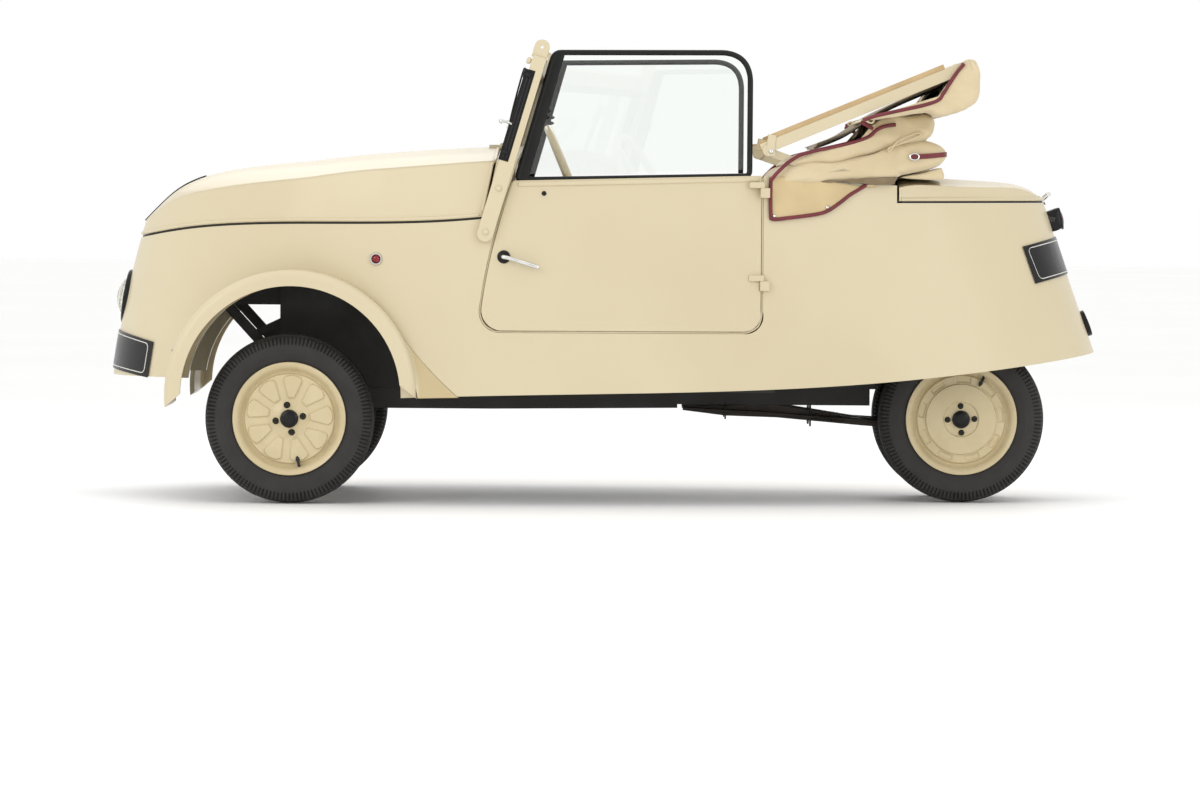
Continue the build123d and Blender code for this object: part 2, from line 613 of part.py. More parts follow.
def hood_room():
    room = rod_y(-958.0, 1168.0, 13.0 + seat_gap, -510.0, 510.0)
    for side in (1.0, -1.0):
        room += bar((-400.0, side * 470.0, 937.0), (-970.0, side * 500.6, 1173.0), 22.6, 30.6)
        room += bar((-415.0, side * 472.0, 941.0), (-640.0, side * 419.0, 861.5), 12.6, 22.6)
        room += rod_y(-430.0, 940.0, 16.0 + seat_gap, side * 470.0 - 14.3, side * 470.0 + 14.3)
    return room


room = hood_room()
fold_edge = Polyline((-432.0, 484.0), (-766.0, 402.0), (-766.0, -402.0), (-432.0, -484.0), close=True)
fold_plan = extrude(make_face(fold_edge), amount=1300.0)
canvas = across(
    side_face((-432.0, 872.4), (-432.0, 912.0), (-500.0, 944.0), (-600.0, 985.0), (-700.0, 1024.0), (-766.0, 1046.0),
              (-766.0, 851.2)), -reach, reach) & fold_plan
canvas = canvas - room
flap = (hull(-5.0) - hull(-seat_gap)) & across(
    side_face((-440.0, 890.0), (-440.0, 764.0), (-520.0, 770.0), (-590.0, 784.0), (-650.0, 814.0),
              (-705.0, 860.0), (-705.0, 890.0)), -reach, reach)
canvas = canvas + flap
canvas = canvas - tail_body - room
canvas = max(canvas.solids(), key=lambda solid: solid.volume)
save("hood_canvas", canvas)
ends = across(
    side_face((-766.4, 892.0), (-885.0, 890.0), (-908.0, 912.0), (-903.0, 942.0), (-870.0, 965.0), (-884.0, 1004.0),
              (-876.0, 1034.0), (-846.0, 1044.0), (-766.4, 1044.0)), -400.0, 400.0) - room
save("hood_roll_ends", max(ends.solids(), key=lambda solid: solid.volume))
cover = across(
    side_face((-740.0, 1062.0), (-890.0, 1053.0), (-972.0, 1092.0), (-988.0, 1172.0), (-966.0, 1192.0),
              (-938.0, 1188.0), (-760.0, 1095.0)), -482.0, 482.0) - room
save("hood_header_cover", max(cover.solids(), key=lambda solid: solid.volume))

# Front axle: beam with yokes, transverse leaf spring, knuckles
axle = rod_y(front_axle_x, 190.0, 20.0, -345.0, 345.0)
for side in (1.0, -1.0):
    y = side * kingpin_y
    axle += box(front_axle_x - 20.0, front_axle_x + 20.0, *sorted((side * 332.0, side * 354.0)), 147.0, rail_high)
    for z0, z1 in ((147.0, 172.0), (278.0, rail_high)):
        axle += box(front_axle_x - 18.0, front_axle_x + 18.0, *sorted((side * 340.0, y)), z0, z1)
        axle += Pos(front_axle_x, y, (z0 + z1) / 2) * Cylinder(22.0, z1 - z0)
    axle = axle - Pos(front_axle_x, y, 224.0) * Cylinder(kingpin_radius + fit_gap, 300.0)
save("front_axle", axle)
leaf_low = rail_high + seat_gap
leaves = Polyline((-350.0, leaf_low), (350.0, leaf_low), (350.0, 309.0), (190.0, 322.0), (0.0, 334.0),
                  (-190.0, 322.0), (-350.0, 309.0), close=True)
leaf_plane = Plane(origin=(front_axle_x - 24.0, 0.0, 0.0), x_dir=(0.0, 1.0, 0.0), z_dir=(1.0, 0.0, 0.0))
save("front_spring", extrude(leaf_plane * make_face(leaves), amount=48.0))
knuckle = Pos(front_axle_x, kingpin_y, 225.0) * Cylinder(22.0, 104.0)
knuckle += Pos(front_axle_x, kingpin_y, 225.0) * Cylinder(kingpin_radius, 162.0)
knuckle += rod_y(front_axle_x, hub_z, stub_radius, kingpin_y, front_half_track + 24.0)
save("knuckle_left", knuckle)
save("knuckle_right", mirror(knuckle, about=Plane.XZ))


def spin_face(*parts):
    return Plane.YZ * make_face(list(parts))


def tyre_solid():
    edge = tyre_width / 2
    high = flange_radius + 0.6
    low = Polyline((38.0, high), (38.0, bead_radius), (-38.0, bead_radius), (-38.0, high))
    left = ThreePointArc((-38.0, high), (-edge, 186.0), (-43.0, 215.0))
    crown = ThreePointArc((-43.0, 215.0), (0.0, tyre_radius), (43.0, 215.0))
    right = ThreePointArc((43.0, 215.0), (edge, 186.0), (38.0, high))
    return revolve(spin_face(low, left, crown, right), Axis.Y)


def rim_solid():
    seat = bead_radius - seat_gap
    ring = Polyline((45.0, flange_radius), (39.0, flange_radius), (39.0, seat), (-39.0, seat),
                    (-39.0, flange_radius), (-45.0, flange_radius), (-45.0, 136.0), (-28.0, 126.0), (28.0, 126.0),
                    (45.0, 136.0), close=True)
    disc = Polyline((10.0, 16.0), (34.0, 16.0), (34.0, 30.0), (26.0, 44.0), (28.0, 100.0), (20.0, 118.0),
                    (24.0, 130.0), (12.0, 130.0), (10.0, 118.0), (16.0, 98.0), (14.0, 44.0), (10.0, 44.0), close=True)
    return revolve(spin_face(ring), Axis.Y) + revolve(spin_face(disc), Axis.Y)


# Wheels: tyre, drop-centre rim with a dished disc
tyre = tyre_solid()
rim = rim_solid()
front_rim = rim + rod_y(0.0, 0.0, 32.0, -30.0, 34.0) - rod_y(0.0, 0.0, stub_radius + fit_gap, -60.0, 24.3)
rear_rim = rim + rod_y(0.0, 0.0, 32.0, -30.0, 34.0)
front_spot = Pos(front_axle_x, front_half_track, hub_z)
rear_spot = Pos(rear_axle_x, rear_half_track, hub_z)
save("front_left_tyre", front_spot * tyre)
save("front_right_tyre", mirror(front_spot * tyre, about=Plane.XZ))
save("front_left_wheel", front_spot * front_rim)
save("front_right_wheel", mirror(front_spot * front_rim, about=Plane.XZ))
save("rear_tyres", *both_sides(rear_spot * tyre))
rear_left = rear_spot * rear_rim
rear_pair = rear_left + mirror(rear_left, about=Plane.XZ)
rear_pair += rod_y(rear_axle_x, hub_z, shaft_radius, -rear_half_track, rear_half_track)
save("rear_wheels", rear_pair)

# Rear axle tube and gear case, leaf springs, motor
tube = rod_y(rear_axle_x, hub_z, 30.0, -104.0, 104.0)
tube += box(rear_axle_x - 70.0, rear_axle_x + 150.0, -42.0, 42.0, hub_z - 60.0, hub_z + 150.0)
tube = tube - rod_y(rear_axle_x, hub_z, shaft_radius + fit_gap, -200.0, 200.0)
save("rear_axle", tube)
pad_z = rail_rear_low - seat_gap
spring = across(
    side_face((-215.0, 250.0), (-420.0, pad_z), (-470.0, pad_z), (-700.0, 220.0), (-928.0, 193.6), (-990.0, 193.6),
              (-990.0, 183.0), (-700.0, 202.0), (-470.0, 222.0), (-330.0, 226.0), (-215.0, 240.0)),
    rail_rear_half - 20.0, rail_rear_half + 20.0)
save("rear_springs", *both_sides(spring))
motor = Pos(-630.0, 0.0, 402.0) * Rot(0, 90, 0) * Cylinder(motor_radius, 330.0)
for side in (1.0, -1.0):
    motor += box(-740.0, -480.0, *sorted((side * 62.0, side * 108.0)), rail_high + seat_gap, 400.0)
motor += box(-811.7, -780.0, -42.0, 42.0, 320.0, 373.0)
save("motor", motor)
print("parts done")
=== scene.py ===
import json
import math

import bmesh
import bpy
import numpy as np
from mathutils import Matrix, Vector

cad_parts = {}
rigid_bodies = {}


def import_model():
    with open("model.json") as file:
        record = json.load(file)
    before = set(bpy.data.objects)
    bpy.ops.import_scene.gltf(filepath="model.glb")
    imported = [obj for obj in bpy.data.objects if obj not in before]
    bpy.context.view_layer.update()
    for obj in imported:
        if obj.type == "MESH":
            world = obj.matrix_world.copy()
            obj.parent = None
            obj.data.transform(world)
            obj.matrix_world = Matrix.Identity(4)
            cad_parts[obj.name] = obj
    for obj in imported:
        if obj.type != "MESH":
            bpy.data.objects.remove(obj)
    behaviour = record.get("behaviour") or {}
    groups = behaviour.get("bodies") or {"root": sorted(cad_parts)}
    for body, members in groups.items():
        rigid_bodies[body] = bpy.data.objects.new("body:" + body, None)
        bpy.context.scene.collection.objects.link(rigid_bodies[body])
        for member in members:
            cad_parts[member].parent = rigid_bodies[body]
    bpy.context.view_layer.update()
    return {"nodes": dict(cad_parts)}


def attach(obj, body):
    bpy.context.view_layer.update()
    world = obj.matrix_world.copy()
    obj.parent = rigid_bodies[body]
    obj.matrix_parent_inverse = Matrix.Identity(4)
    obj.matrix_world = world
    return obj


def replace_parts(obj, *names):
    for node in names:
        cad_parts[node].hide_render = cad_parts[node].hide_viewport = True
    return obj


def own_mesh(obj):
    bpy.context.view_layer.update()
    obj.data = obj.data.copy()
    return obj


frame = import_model()
nodes = frame["nodes"]
for spare in [o for o in bpy.data.objects if o.name in ("Cube", "Light", "Camera")]:
    bpy.data.objects.remove(spare)
mm = 0.001
forward, leftward, upward = (1.0, 0.0, 0.0), (0.0, 1.0, 0.0), (0.0, 0.0, 1.0)
print("frame loaded:", len(nodes), "nodes")


# shapes

def xyz(*parts):
    return np.array(parts, float)


def gridFaces(rows, cols, closeRows, closeCols):
    # quads between neighbouring grid points, wrapping round where the surface meets itself
    i = np.arange(rows if closeRows else rows - 1)
    j = np.arange(cols if closeCols else cols - 1)
    a, b = np.meshgrid(i, j, indexing="ij")
    a2, b2 = (a + 1) % rows, (b + 1) % cols
    return np.stack([a * cols + b, a2 * cols + b, a2 * cols + b2, a * cols + b2], -1).reshape(-1, 4)


def makePiece(name, patches, material, body="body", slot=None, sharp=38, closed=True):
    # several grids become one mesh; poles and seams are merged and the faces turned outwards
    weld = 1e-5
    points, faces, start = [], [], 0
    for grid, closeRows, closeCols in patches:
        rows, cols = grid.shape[:2]
        points.append(grid.reshape(-1, 3))
        faces.append(gridFaces(rows, cols, closeRows, closeCols) + start)
        start += rows * cols
    points, faces = np.concatenate(points), np.concatenate(faces)
    mesh = bpy.data.meshes.new(name)
    mesh.vertices.add(len(points))
    mesh.vertices.foreach_set("co", points.astype(np.float32).ravel())
    mesh.loops.add(faces.size)
    mesh.loops.foreach_set("vertex_index", faces.astype(np.int32).ravel())
    mesh.polygons.add(len(faces))
    mesh.polygons.foreach_set("loop_start", np.arange(len(faces), dtype=np.int32) * 4)
    mesh.update(calc_edges=True)
    work = bmesh.new()
    work.from_mesh(mesh)
    bmesh.ops.remove_doubles(work, verts=work.verts, dist=weld)
    bmesh.ops.dissolve_degenerate(work, edges=work.edges, dist=weld / 10)
    if closed:
        bmesh.ops.recalc_face_normals(work, faces=work.faces)
    work.to_mesh(mesh)
    work.free()
    mesh.shade_smooth()
    mesh.set_sharp_from_angle(angle=math.radians(sharp))
    piece = bpy.data.objects.new(name, mesh)
    bpy.context.scene.collection.objects.link(piece)
    piece.data.materials.append(material)
    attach(piece, body)
    slot = slot or recordSlot[material]
    return piece


def smoothLine(points, steps=8, closed=False):
    # Catmull-Rom curve through the points, each run cut into equal steps
    p = np.asarray(points, float)
    if closed:
        q = np.concatenate([p[-1:], p, p[:2]])
    else:
        q = np.concatenate([2 * p[:1] - p[1:2], p, 2 * p[-1:] - p[-2:-1]])
    runs = len(q) - 3
    t = np.linspace(0, 1, steps, endpoint=False)[None, :, None]
    a, b, c, d = (q[k:k + runs][:, None] for k in range(4))
    curve = 0.5 * (2 * b + (c - a) * t + (2 * a - 5 * b + 4 * c - d) * t ** 2 + (3 * b - a - 3 * c + d)
                   * t ** 3)
    curve = curve.reshape(-1, p.shape[1])
    return curve if closed else np.concatenate([curve, p[-1:]])


def outlineOf(points, steps, closed=False):
    # smooth side-view line from points in millimetres
    return smoothLine(np.array(points) * mm, steps, closed)


def lengths(line):
    # distance along the line up to each of its points
    return np.concatenate([[0], np.cumsum(np.linalg.norm(np.diff(line, axis=0), axis=1))])


def evenly(line, count, endpoint=True):
    run = lengths(line)
    even = np.linspace(0, run[-1], count, endpoint=endpoint)
    return np.stack([np.interp(even, run, column) for column in line.T], -1)


def splineThrough(points, count):
    # smooth cubic by chord length; each end slope is that of the cubic through the four nearest points
    p = np.asarray(points, float)
    run = lengths(p)
    gap, rise = np.diff(run), np.diff(p, axis=0) / np.diff(run)[:, None]
    rows, want = np.eye(len(p)), np.zeros_like(p)
    for k, near in ((0, slice(0, 4)), (-1, slice(-4, None))):
        want[k] = np.polyfit(run[near] - run[k], p[near], 3)[2]
    for k in range(1, len(p) - 1):
        rows[k, k - 1:k + 2] = gap[k], 2 * (gap[k - 1] + gap[k]), gap[k - 1]
        want[k] = 3 * (gap[k] * rise[k - 1] + gap[k - 1] * rise[k])
    slope = np.linalg.solve(rows, want)
    at = np.linspace(0, run[-1], count)
    k = np.clip(np.searchsorted(run, at) - 1, 0, len(gap) - 1)
    h, t = gap[k][:, None], ((at - run[k]) / gap[k])[:, None]
    start = (2 * t ** 3 - 3 * t ** 2 + 1) * p[k] + (t ** 3 - 2 * t ** 2 + t) * h * slope[k]
    return start + (3 * t ** 2 - 2 * t ** 3) * p[k + 1] + (t ** 3 - t ** 2) * h * slope[k + 1]


def unit(v):
    return v / np.maximum(np.linalg.norm(v, axis=-1, keepdims=True), 1e-12)


def alongPath(path, profile, closed=False, up=upward):
    # profile carried along a path, each ring square to the tangent and turned so that its top faces up
    path = np.asarray(path, float)
    if closed:
        tangent = np.roll(path, -1, 0) - np.roll(path, 1, 0)
    else:
        tangent = np.gradient(path, axis=0)
    tangent = unit(tangent)
    side = unit(np.cross(np.broadcast_to(up, tangent.shape), tangent))
    top = np.cross(tangent, side)
    return path[:, None] + profile[None, :, :1] * side[:, None] + profile[None, :, 1:] * top[:, None]


def capped(rings):
    # a centre point at each end closes the tube
    first = np.broadcast_to(rings[:1].mean(1, keepdims=True), rings[:1].shape)
    last = np.broadcast_to(rings[-1:].mean(1, keepdims=True), rings[-1:].shape)
    return np.concatenate([first, rings, last])


def oval(width, height, sides=12, power=2.0):
    # superellipse ring of the given full width and height
    t = np.linspace(0, 2 * np.pi, sides, endpoint=False)
    c, s = np.cos(t), np.sin(t)
    x, y = (np.sign(a) * np.abs(a) ** (2 / power) for a in (c, s))
    return np.stack([x * width / 2, y * height / 2], -1)


def tube(path, radius, sides=12, closed=False, up=upward):
    rings = alongPath(path, oval(2 * radius, 2 * radius, sides), closed, up)
    return (rings, True, True) if closed else (capped(rings), False, True)


def bar(path, width, height, closed=False, up=upward, power=8.0):
    # flat strip with softened corners
    rings = alongPath(path, oval(width, height, 20, power), closed, up)
    return (rings, True, True) if closed else (capped(rings), False, True)


def facing(axis):
    # directions across, up and along an axis
    along = unit(np.asarray(axis, float))
    guide = xyz(0.0, 0.0, 1.0) if abs(along[2]) < 0.9 else xyz(1.0, 0.0, 0.0)
    across = unit(np.cross(guide, along))
    return across, np.cross(along, across), along


def spun(profile, centre, axis=leftward, steps=48):
    # profile of radius and height turned about an axis through centre
    profile = np.asarray(profile, float)
    across, up, along = facing(axis)
    t = np.linspace(0, 2 * np.pi, steps, endpoint=False)
    ring = np.cos(t)[:, None] * across + np.sin(t)[:, None] * up
    grid = np.asarray(centre) + profile[:, None, :1] * ring[None] + profile[:, None, 1:] * along
    return grid, False, True


def dome(centre, axis, radius, height, steps=20, rows=6):
    # round head: quarter ellipse from rim to crown, closed underneath
    t = np.linspace(0, np.pi / 2, rows)
    profile = np.stack([radius * np.cos(t), height * np.sin(t)], -1)
    return spun(np.concatenate([[[0, 0]], profile]), centre, axis, steps)


def hexNut(centre, axis, radius, height):
    profile = np.array([[0, 0], [1, 0], [1, 0.8], [0.86, 1.0], [0, 1.0]]) * [radius, height]
    return spun(profile, centre, axis, 6)


def pipeRing(centre, axis, radius, thick, steps=64, sides=12, flat=1.0):
    # ring of round section about an axis
    t = np.linspace(0, 2 * np.pi, sides, endpoint=False)
    profile = np.stack([radius + thick * np.cos(t), flat * thick * np.sin(t)], -1)
    grid, _, _ = spun(profile, centre, axis, steps)
    return grid, True, True


def flipped(patch):
    # the same patch on the other side of the car
    grid, closeRows, closeCols = patch
    return grid * xyz(1.0, -1.0, 1.0), closeRows, closeCols


def step(x, low, high):
    t = np.clip((x - low) / (high - low), 0, 1)
    return t * t * (3 - 2 * t)


def band(x, low, high, soft):
    return step(x, low, low + soft) * (1 - step(x, high - soft, high))


# body surface

bodyShape = {
    "heights": (0.240, 0.620, 0.980),
    "nose": (1.343, 1.279, 1.165),
    "tail": (-1.396, -1.256, -1.138),
    "scale": (0.985, 1.0, 0.972),
    "widestX": 0.390,
    "widestHalf": 0.574,
    "nosePower": (1.8, 2.0),
    "tailPower": (1.56, 2.5),
}


def atHeight(key, z):
    # quadratic through the three body levels
    return np.polyval(np.polyfit(bodyShape["heights"], bodyShape[key], 2), z)


def bodyHalf(x, z):
    # half width of the hull: a superellipse plan whose tips and width follow the height
    x, z = np.broadcast_arrays(np.asarray(x, float), np.asarray(z, float))
    ahead = x > bodyShape["widestX"]
    tip = np.where(ahead, atHeight("nose", z), atHeight("tail", z))
    p = np.where(ahead, bodyShape["nosePower"][0], bodyShape["tailPower"][0])
    q = np.where(ahead, bodyShape["nosePower"][1], bodyShape["tailPower"][1])
    r = np.clip(np.abs(x - bodyShape["widestX"]) / np.abs(tip - bodyShape["widestX"]), 0, 1)
    return bodyShape["widestHalf"] * atHeight("scale", z) * (1 - r ** p) ** (1 / q)


def roundBody(heightOf, endX, nose=True, out=0.0, count=90):
    # line round the nose or the stern, from the left side at endX to the right, at a height given by x
    key, power = ("nose", "nosePower") if nose else ("tail", "tailPower")
    p, q = bodyShape[power]
    wide = bodyShape["widestX"]
    turn = np.pi / 2 * (1 - np.linspace(1, 0, 900) ** 2)
    x = wide + (atHeight(key, 0.7) - wide) * np.cos(turn) ** (2 / p)
    for _ in range(6):
        z = heightOf(x)
        x = wide + (atHeight(key, z) - wide) * np.cos(turn) ** (2 / p)
    z = heightOf(x)
    y = bodyShape["widestHalf"] * atHeight("scale", z) * np.sin(turn) ** (2 / q)
    if nose and endX < wide:
        # past the widest place the flank is read from the hull itself
        past = np.linspace(wide, endX, 16)[1:]
        pairs = ((x, past), (y, bodyHalf(past, heightOf(past))), (z, heightOf(past)))
        x, y, z = (np.concatenate(pair) for pair in pairs)
    keep = x >= endX if nose else x <= endX
    half = np.stack([x, y, z], -1)[keep]
    line = np.concatenate([half[::-1], (half * [1, -1, 1])[1:]])
    flat = line[:, :2]
    tangent = unit(np.gradient(flat, axis=0))
    normal = np.stack([tangent[:, 1], -tangent[:, 0]], -1) * (-1.0 if nose else 1.0)
    line[:, :2] += normal * (out(line[:, 1:2]) if callable(out) else out)
    return evenly(line, count)


# materials

def linear(code):
    # sRGB hex to linear light
    parts = np.array([int(code[k:k + 2], 16) for k in (1, 3, 5)]) / 255
    return (*np.where(parts <= 0.04045, parts / 12.92, ((parts + 0.055) / 1.055) ** 2.4), 1.0)


def addNode(tree, kind, settings=None, links=None):
    node = tree.nodes.new(kind)
    for name, value in (settings or {}).items():
        if isinstance(name, str) and hasattr(node, name):
            setattr(node, name, value)
        else:
            node.inputs[name].default_value = value
    for name, source in (links or {}).items():
        tree.links.new(source, node.inputs[name])
    return node


def newMaterial(name, settings):
    material = bpy.data.materials.new(name)
    material.use_nodes = True
    tree = material.node_tree
    shader = tree.nodes["Principled BSDF"]
    for key, value in settings.items():
        shader.inputs[key].default_value = value
    place = addNode(tree, "ShaderNodeTexCoord").outputs["Object"]
    return material, tree, shader, place


def ramp(tree, source, stops):
    node = addNode(tree, "ShaderNodeValToRGB", {}, {"Fac": source})
    while len(node.color_ramp.elements) < len(stops):
        node.color_ramp.elements.new(0.5)
    for element, (place, colour) in zip(node.color_ramp.elements, stops):
        element.position = place
        element.color = linear(colour) if isinstance(colour, str) else (colour, colour, colour, 1.0)
    return node.outputs["Color"]


def perMetre(size):
    # texture scale for a pattern whose repeat is this many millimetres
    return 1.0 / (size * mm)


def cloudy(name, low, high, patch, rough, shader, grain=None, bump=0.0, detail=4.0, edgeRound=0.0):
    # base colour drifts between two tones over patches; roughness follows; a finer grain lifts the surface
    material, tree, principled, place = newMaterial(name, shader)
    noise = addNode(tree, "ShaderNodeTexNoise", {"Scale": perMetre(patch), "Detail": detail},
                    {"Vector": place})
    for key, (least, most) in (("Base Color", (low, high)), ("Roughness", rough)):
        tree.links.new(ramp(tree, noise.outputs["Fac"], [(0.3, least), (0.7, most)]), principled.inputs[key])
    normal = None
    if edgeRound:
        normal = addNode(tree, "ShaderNodeBevel", {"samples": 4, "Radius": edgeRound * mm}).outputs["Normal"]
    if grain:
        fine = addNode(tree, "ShaderNodeTexNoise", {"Scale": perMetre(grain), "Detail": 3.0},
                       {"Vector": place})
        links = {"Height": fine.outputs["Fac"]}
        if normal:
            links["Normal"] = normal
        normal = addNode(tree, "ShaderNodeBump", {"Strength": bump, "Distance": 0.001},
                         links).outputs["Normal"]
    if normal:
        tree.links.new(normal, principled.inputs["Normal"])
    return material


def shadeFairing(material, paintedShade):
    # painted shade: a darker tone mixed over what lies farther than a radius from the wheel, standing for the
    # shade on the fairing behind it
    tree = material.node_tree
    base = tree.nodes["Principled BSDF"].inputs["Base Color"]
    place = addNode(tree, "ShaderNodeTexCoord").outputs["Object"]
    shift = {"Location": (-paintedShade["spot"][0], 0.0, -paintedShade["spot"][1]), "Scale": (1.0, 0.0, 1.0)}
    flat = addNode(tree, "ShaderNodeMapping", shift, {"Vector": place})
    away = addNode(tree, "ShaderNodeVectorMath", {"operation": "LENGTH"}, {"Vector": flat.outputs["Vector"]})
    edge = [(paintedShade["radius"], 0.0), (paintedShade["radius"] + paintedShade["fade"], paintedShade["cover"])]
    cover = ramp(tree, away.outputs["Value"], edge)
    under = base.links[0].from_socket
    shadeMix = addNode(tree, "ShaderNodeMixRGB", {"Color2": linear(paintedShade["colour"])},
                   {"Fac": cover, "Color1": under})
    tree.links.new(shadeMix.outputs["Color"], base)
    return material


# sprayed cellulose enamel: soft gloss under a polished coat, faint orange peel; painted shade darkens the
# wings' fairing
creamShader = {"Coat Weight": 0.16, "Coat Roughness": 0.08, "Specular IOR Level": 0.22}
creamCoat = ("#c7ba9b", "#cdc1a3", 600, (0.34, 0.42), creamShader, 3, 0.02, 3)
creamEnamel = cloudy("cream_enamel", *creamCoat, 2.5)
panelEnamel = cloudy("cream_enamel_panels", *creamCoat)
bonnetEnamel = cloudy("cream_enamel_bonnet", *creamCoat, 16)
# painted shade on the wings' fairing behind the front wheel
fairingShade = {"spot": (0.820, 0.287), "radius": 0.3325, "fade": 0.006, "cover": 0.85, "colour": "#b9a67d"}
wingEnamel = shadeFairing(cloudy("cream_enamel_wings", *creamCoat, 2.5), fairingShade)
wheelEnamel = cloudy("cream_enamel_wheels", "#c3b38d", "#cdbe9a", 120, (0.2, 0.34),
                     creamShader, 2.5, 0.03, 4)
# stove-enamelled black steel tube: gloss with fine dust
blackEnamel = cloudy("black_enamel", "#0d0d0d", "#171716", 80, (0.28, 0.42),
                     {"Coat Weight": 0.06, "Specular IOR Level": 0.22}, 2, 0.04)
# brushed-on black chassis paint, dull and dusty with brown road dirt
chassisBlack = cloudy("chassis_black_paint", "#0f0e0e", "#26221e", 70, (0.5, 0.72), {}, 3, 0.25)
# moulded rubber, grey with road dust
tyreRubber = cloudy("tyre_rubber", "#262524", "#343230", 45, (0.62, 0.78),
                    {"Specular IOR Level": 0.35}, 1.6, 0.18)
matRubber = cloudy("floor_mat_rubber", "#1b1a19", "#2b2927", 50, (0.6, 0.75), {}, 5, 0.3)
# nickel-chrome plate, slightly hazed
chromePlate = cloudy("chrome_plate", "#c9c9c6", "#e2e2df", 30, (0.06, 0.16), {"Metallic": 1.0})
# spring and forged steel under old grease
oiledSteel = cloudy("oiled_steel", "#1d1a18", "#3a332c", 40, (0.35, 0.6), {"Metallic": 0.6}, 2, 0.3)
castIron = cloudy("cast_iron_grey", "#2a2a2a", "#3b3a38", 50, (0.5, 0.7), {"Metallic": 0.4}, 2, 0.4)
# rubber-proofed cotton canvas: cream, finely woven, dull
canvasWeave = (90, (0.72, 0.84), {"Sheen Weight": 0.25, "Sheen Roughness": 0.5}, 1.4, 0.16)
hoodCanvas = cloudy("hood_canvas", "#c6b592", "#d0c09d", *canvasWeave)
# the flaps' copy of the canvas is darker: painted shade for the side-facing flaps
shadedFlapCanvas = cloudy("hood_flap_canvas_shaded", "#bea87e", "#c9b489", *canvasWeave)
# dark brown cloth for the hood's lining sheet and the roll under the folds: its dark tone is painted shade
liningShadeCloth = cloudy("hood_lining_painted_shade", "#6d5e42", "#87755a", 60, (0.8, 0.9),
                    {"Sheen Weight": 0.2}, 1.4, 0.2)
hoodFelt = cloudy("tan_hood_felt", "#ab9067", "#bda379", 60, (0.7, 0.85), {"Sheen Weight": 0.2}, 1.2, 0.2)
# dark red leathercloth binding
redBinding = cloudy("red_leathercloth_binding", "#5c1a20", "#742630", 25, (0.42, 0.6), {}, 1.5, 0.3)
# tan hide with fine grain
seatHide = cloudy("tan_seat_hide", "#6d4427", "#82552f", 120, (0.4, 0.55), {"Coat Weight": 0.1}, 2.2, 0.3)
# vitreous black plate, blank
plateEnamel = cloudy("black_plate_enamel", "#0c0c0d", "#151516", 60, (0.24, 0.34),
                     {"Coat Weight": 0.1, "Specular IOR Level": 0.25}, 2, 0.03)
whiteEnamel = cloudy("white_line_enamel", "#cfcdc4", "#dedcd4", 30, (0.3, 0.4), {}, 2, 0.05)
# cast phenolic, ivory
ivoryPlastic = cloudy("ivory_phenolic", "#cab68b", "#d2c096", 50, (0.2, 0.3), {"Coat Weight": 0.3}, 3, 0.02)
batteryCase = cloudy("hard_rubber_battery_case", "#121211", "#201f1d", 60, (0.5, 0.65), {}, 2, 0.2)
leadGrey = cloudy("cast_lead", "#5f6061", "#75767a", 12, (0.45, 0.65), {"Metallic": 0.8}, 2, 0.3)


def glassMaterial(name, tint, rough, solid=0.0):
    # drawn sheet glass: faint green body, slight waviness
    glass, tree, principled, place = newMaterial(name, {
        "Base Color": linear(tint), "Transmission Weight": 1.0 - solid, "IOR": 1.5, "Roughness": rough})
    wave = addNode(tree, "ShaderNodeTexNoise", {"Scale": perMetre(120), "Detail": 1.0}, {"Vector": place})
    lift = addNode(tree, "ShaderNodeBump", {"Strength": 0.02, "Distance": 0.001},
                   {"Height": wave.outputs["Fac"]})
    tree.links.new(lift.outputs["Normal"], principled.inputs["Normal"])
    return glass


windowGlass = glassMaterial("window_glass", "#fbfdfb", 0.0)
lampGlass = glassMaterial("lamp_glass", "#f3f1e4", 0.03)
rubyGlass = glassMaterial("ruby_glass", "#a3141a", 0.05, 0.25)
# slot of the record that each finish of the made pieces answers to
recordSlot = {}
for slot, finishes in (
        ("cream_paint", (creamEnamel, panelEnamel, wheelEnamel)),
        ("black_enamel", (blackEnamel,)),
        ("tyre", (tyreRubber, matRubber)),
        ("chrome", (chromePlate,)),
        ("spring_steel", (oiledSteel,)),
        ("glass", (lampGlass, rubyGlass)),
        ("plate_black", (whiteEnamel,)),
        ("seat_cloth", (seatHide,)),
        ("canvas", (hoodCanvas, shadedFlapCanvas, liningShadeCloth, hoodFelt, redBinding)),
        ("black_steel", (chassisBlack,)),
        ("grey_iron", (leadGrey,))):
    recordSlot.update(dict.fromkeys(finishes, slot))
print("materials made:", len(bpy.data.materials))

nodeFinish = {
    creamEnamel: ("scuttle", "dashboard", "windscreen_frame", "hood_frame", "boot_lid", "door_left",
                  "door_right"),
    wingEnamel: ("front_wings",),
    panelEnamel: ("front_body", "side_sills", "tail_body"),
    bonnetEnamel: ("bonnet",),
    blackEnamel: ("windscreen_sash", "steering_column", "controls", "headlamp", "nose_badge"),
    chassisBlack: ("chassis_frame", "bulkhead", "wheel_houses", "rear_deck", "front_axle"),
    oiledSteel: ("rear_springs", "front_spring", "knuckle_left", "knuckle_right"),
    castIron: ("motor", "rear_axle"),
    matRubber: ("cabin_floor",),
    batteryCase: ("batteries",),
    plateEnamel: ("number_plates",),
    ivoryPlastic: ("steering_wheel",),
    windowGlass: ("windscreen_glass", "door_left_glass", "door_right_glass"),
}
for finish, names in nodeFinish.items():
    for name in names:
        nodes[name].data.materials.clear()
        nodes[name].data.materials.append(finish)


# tyres

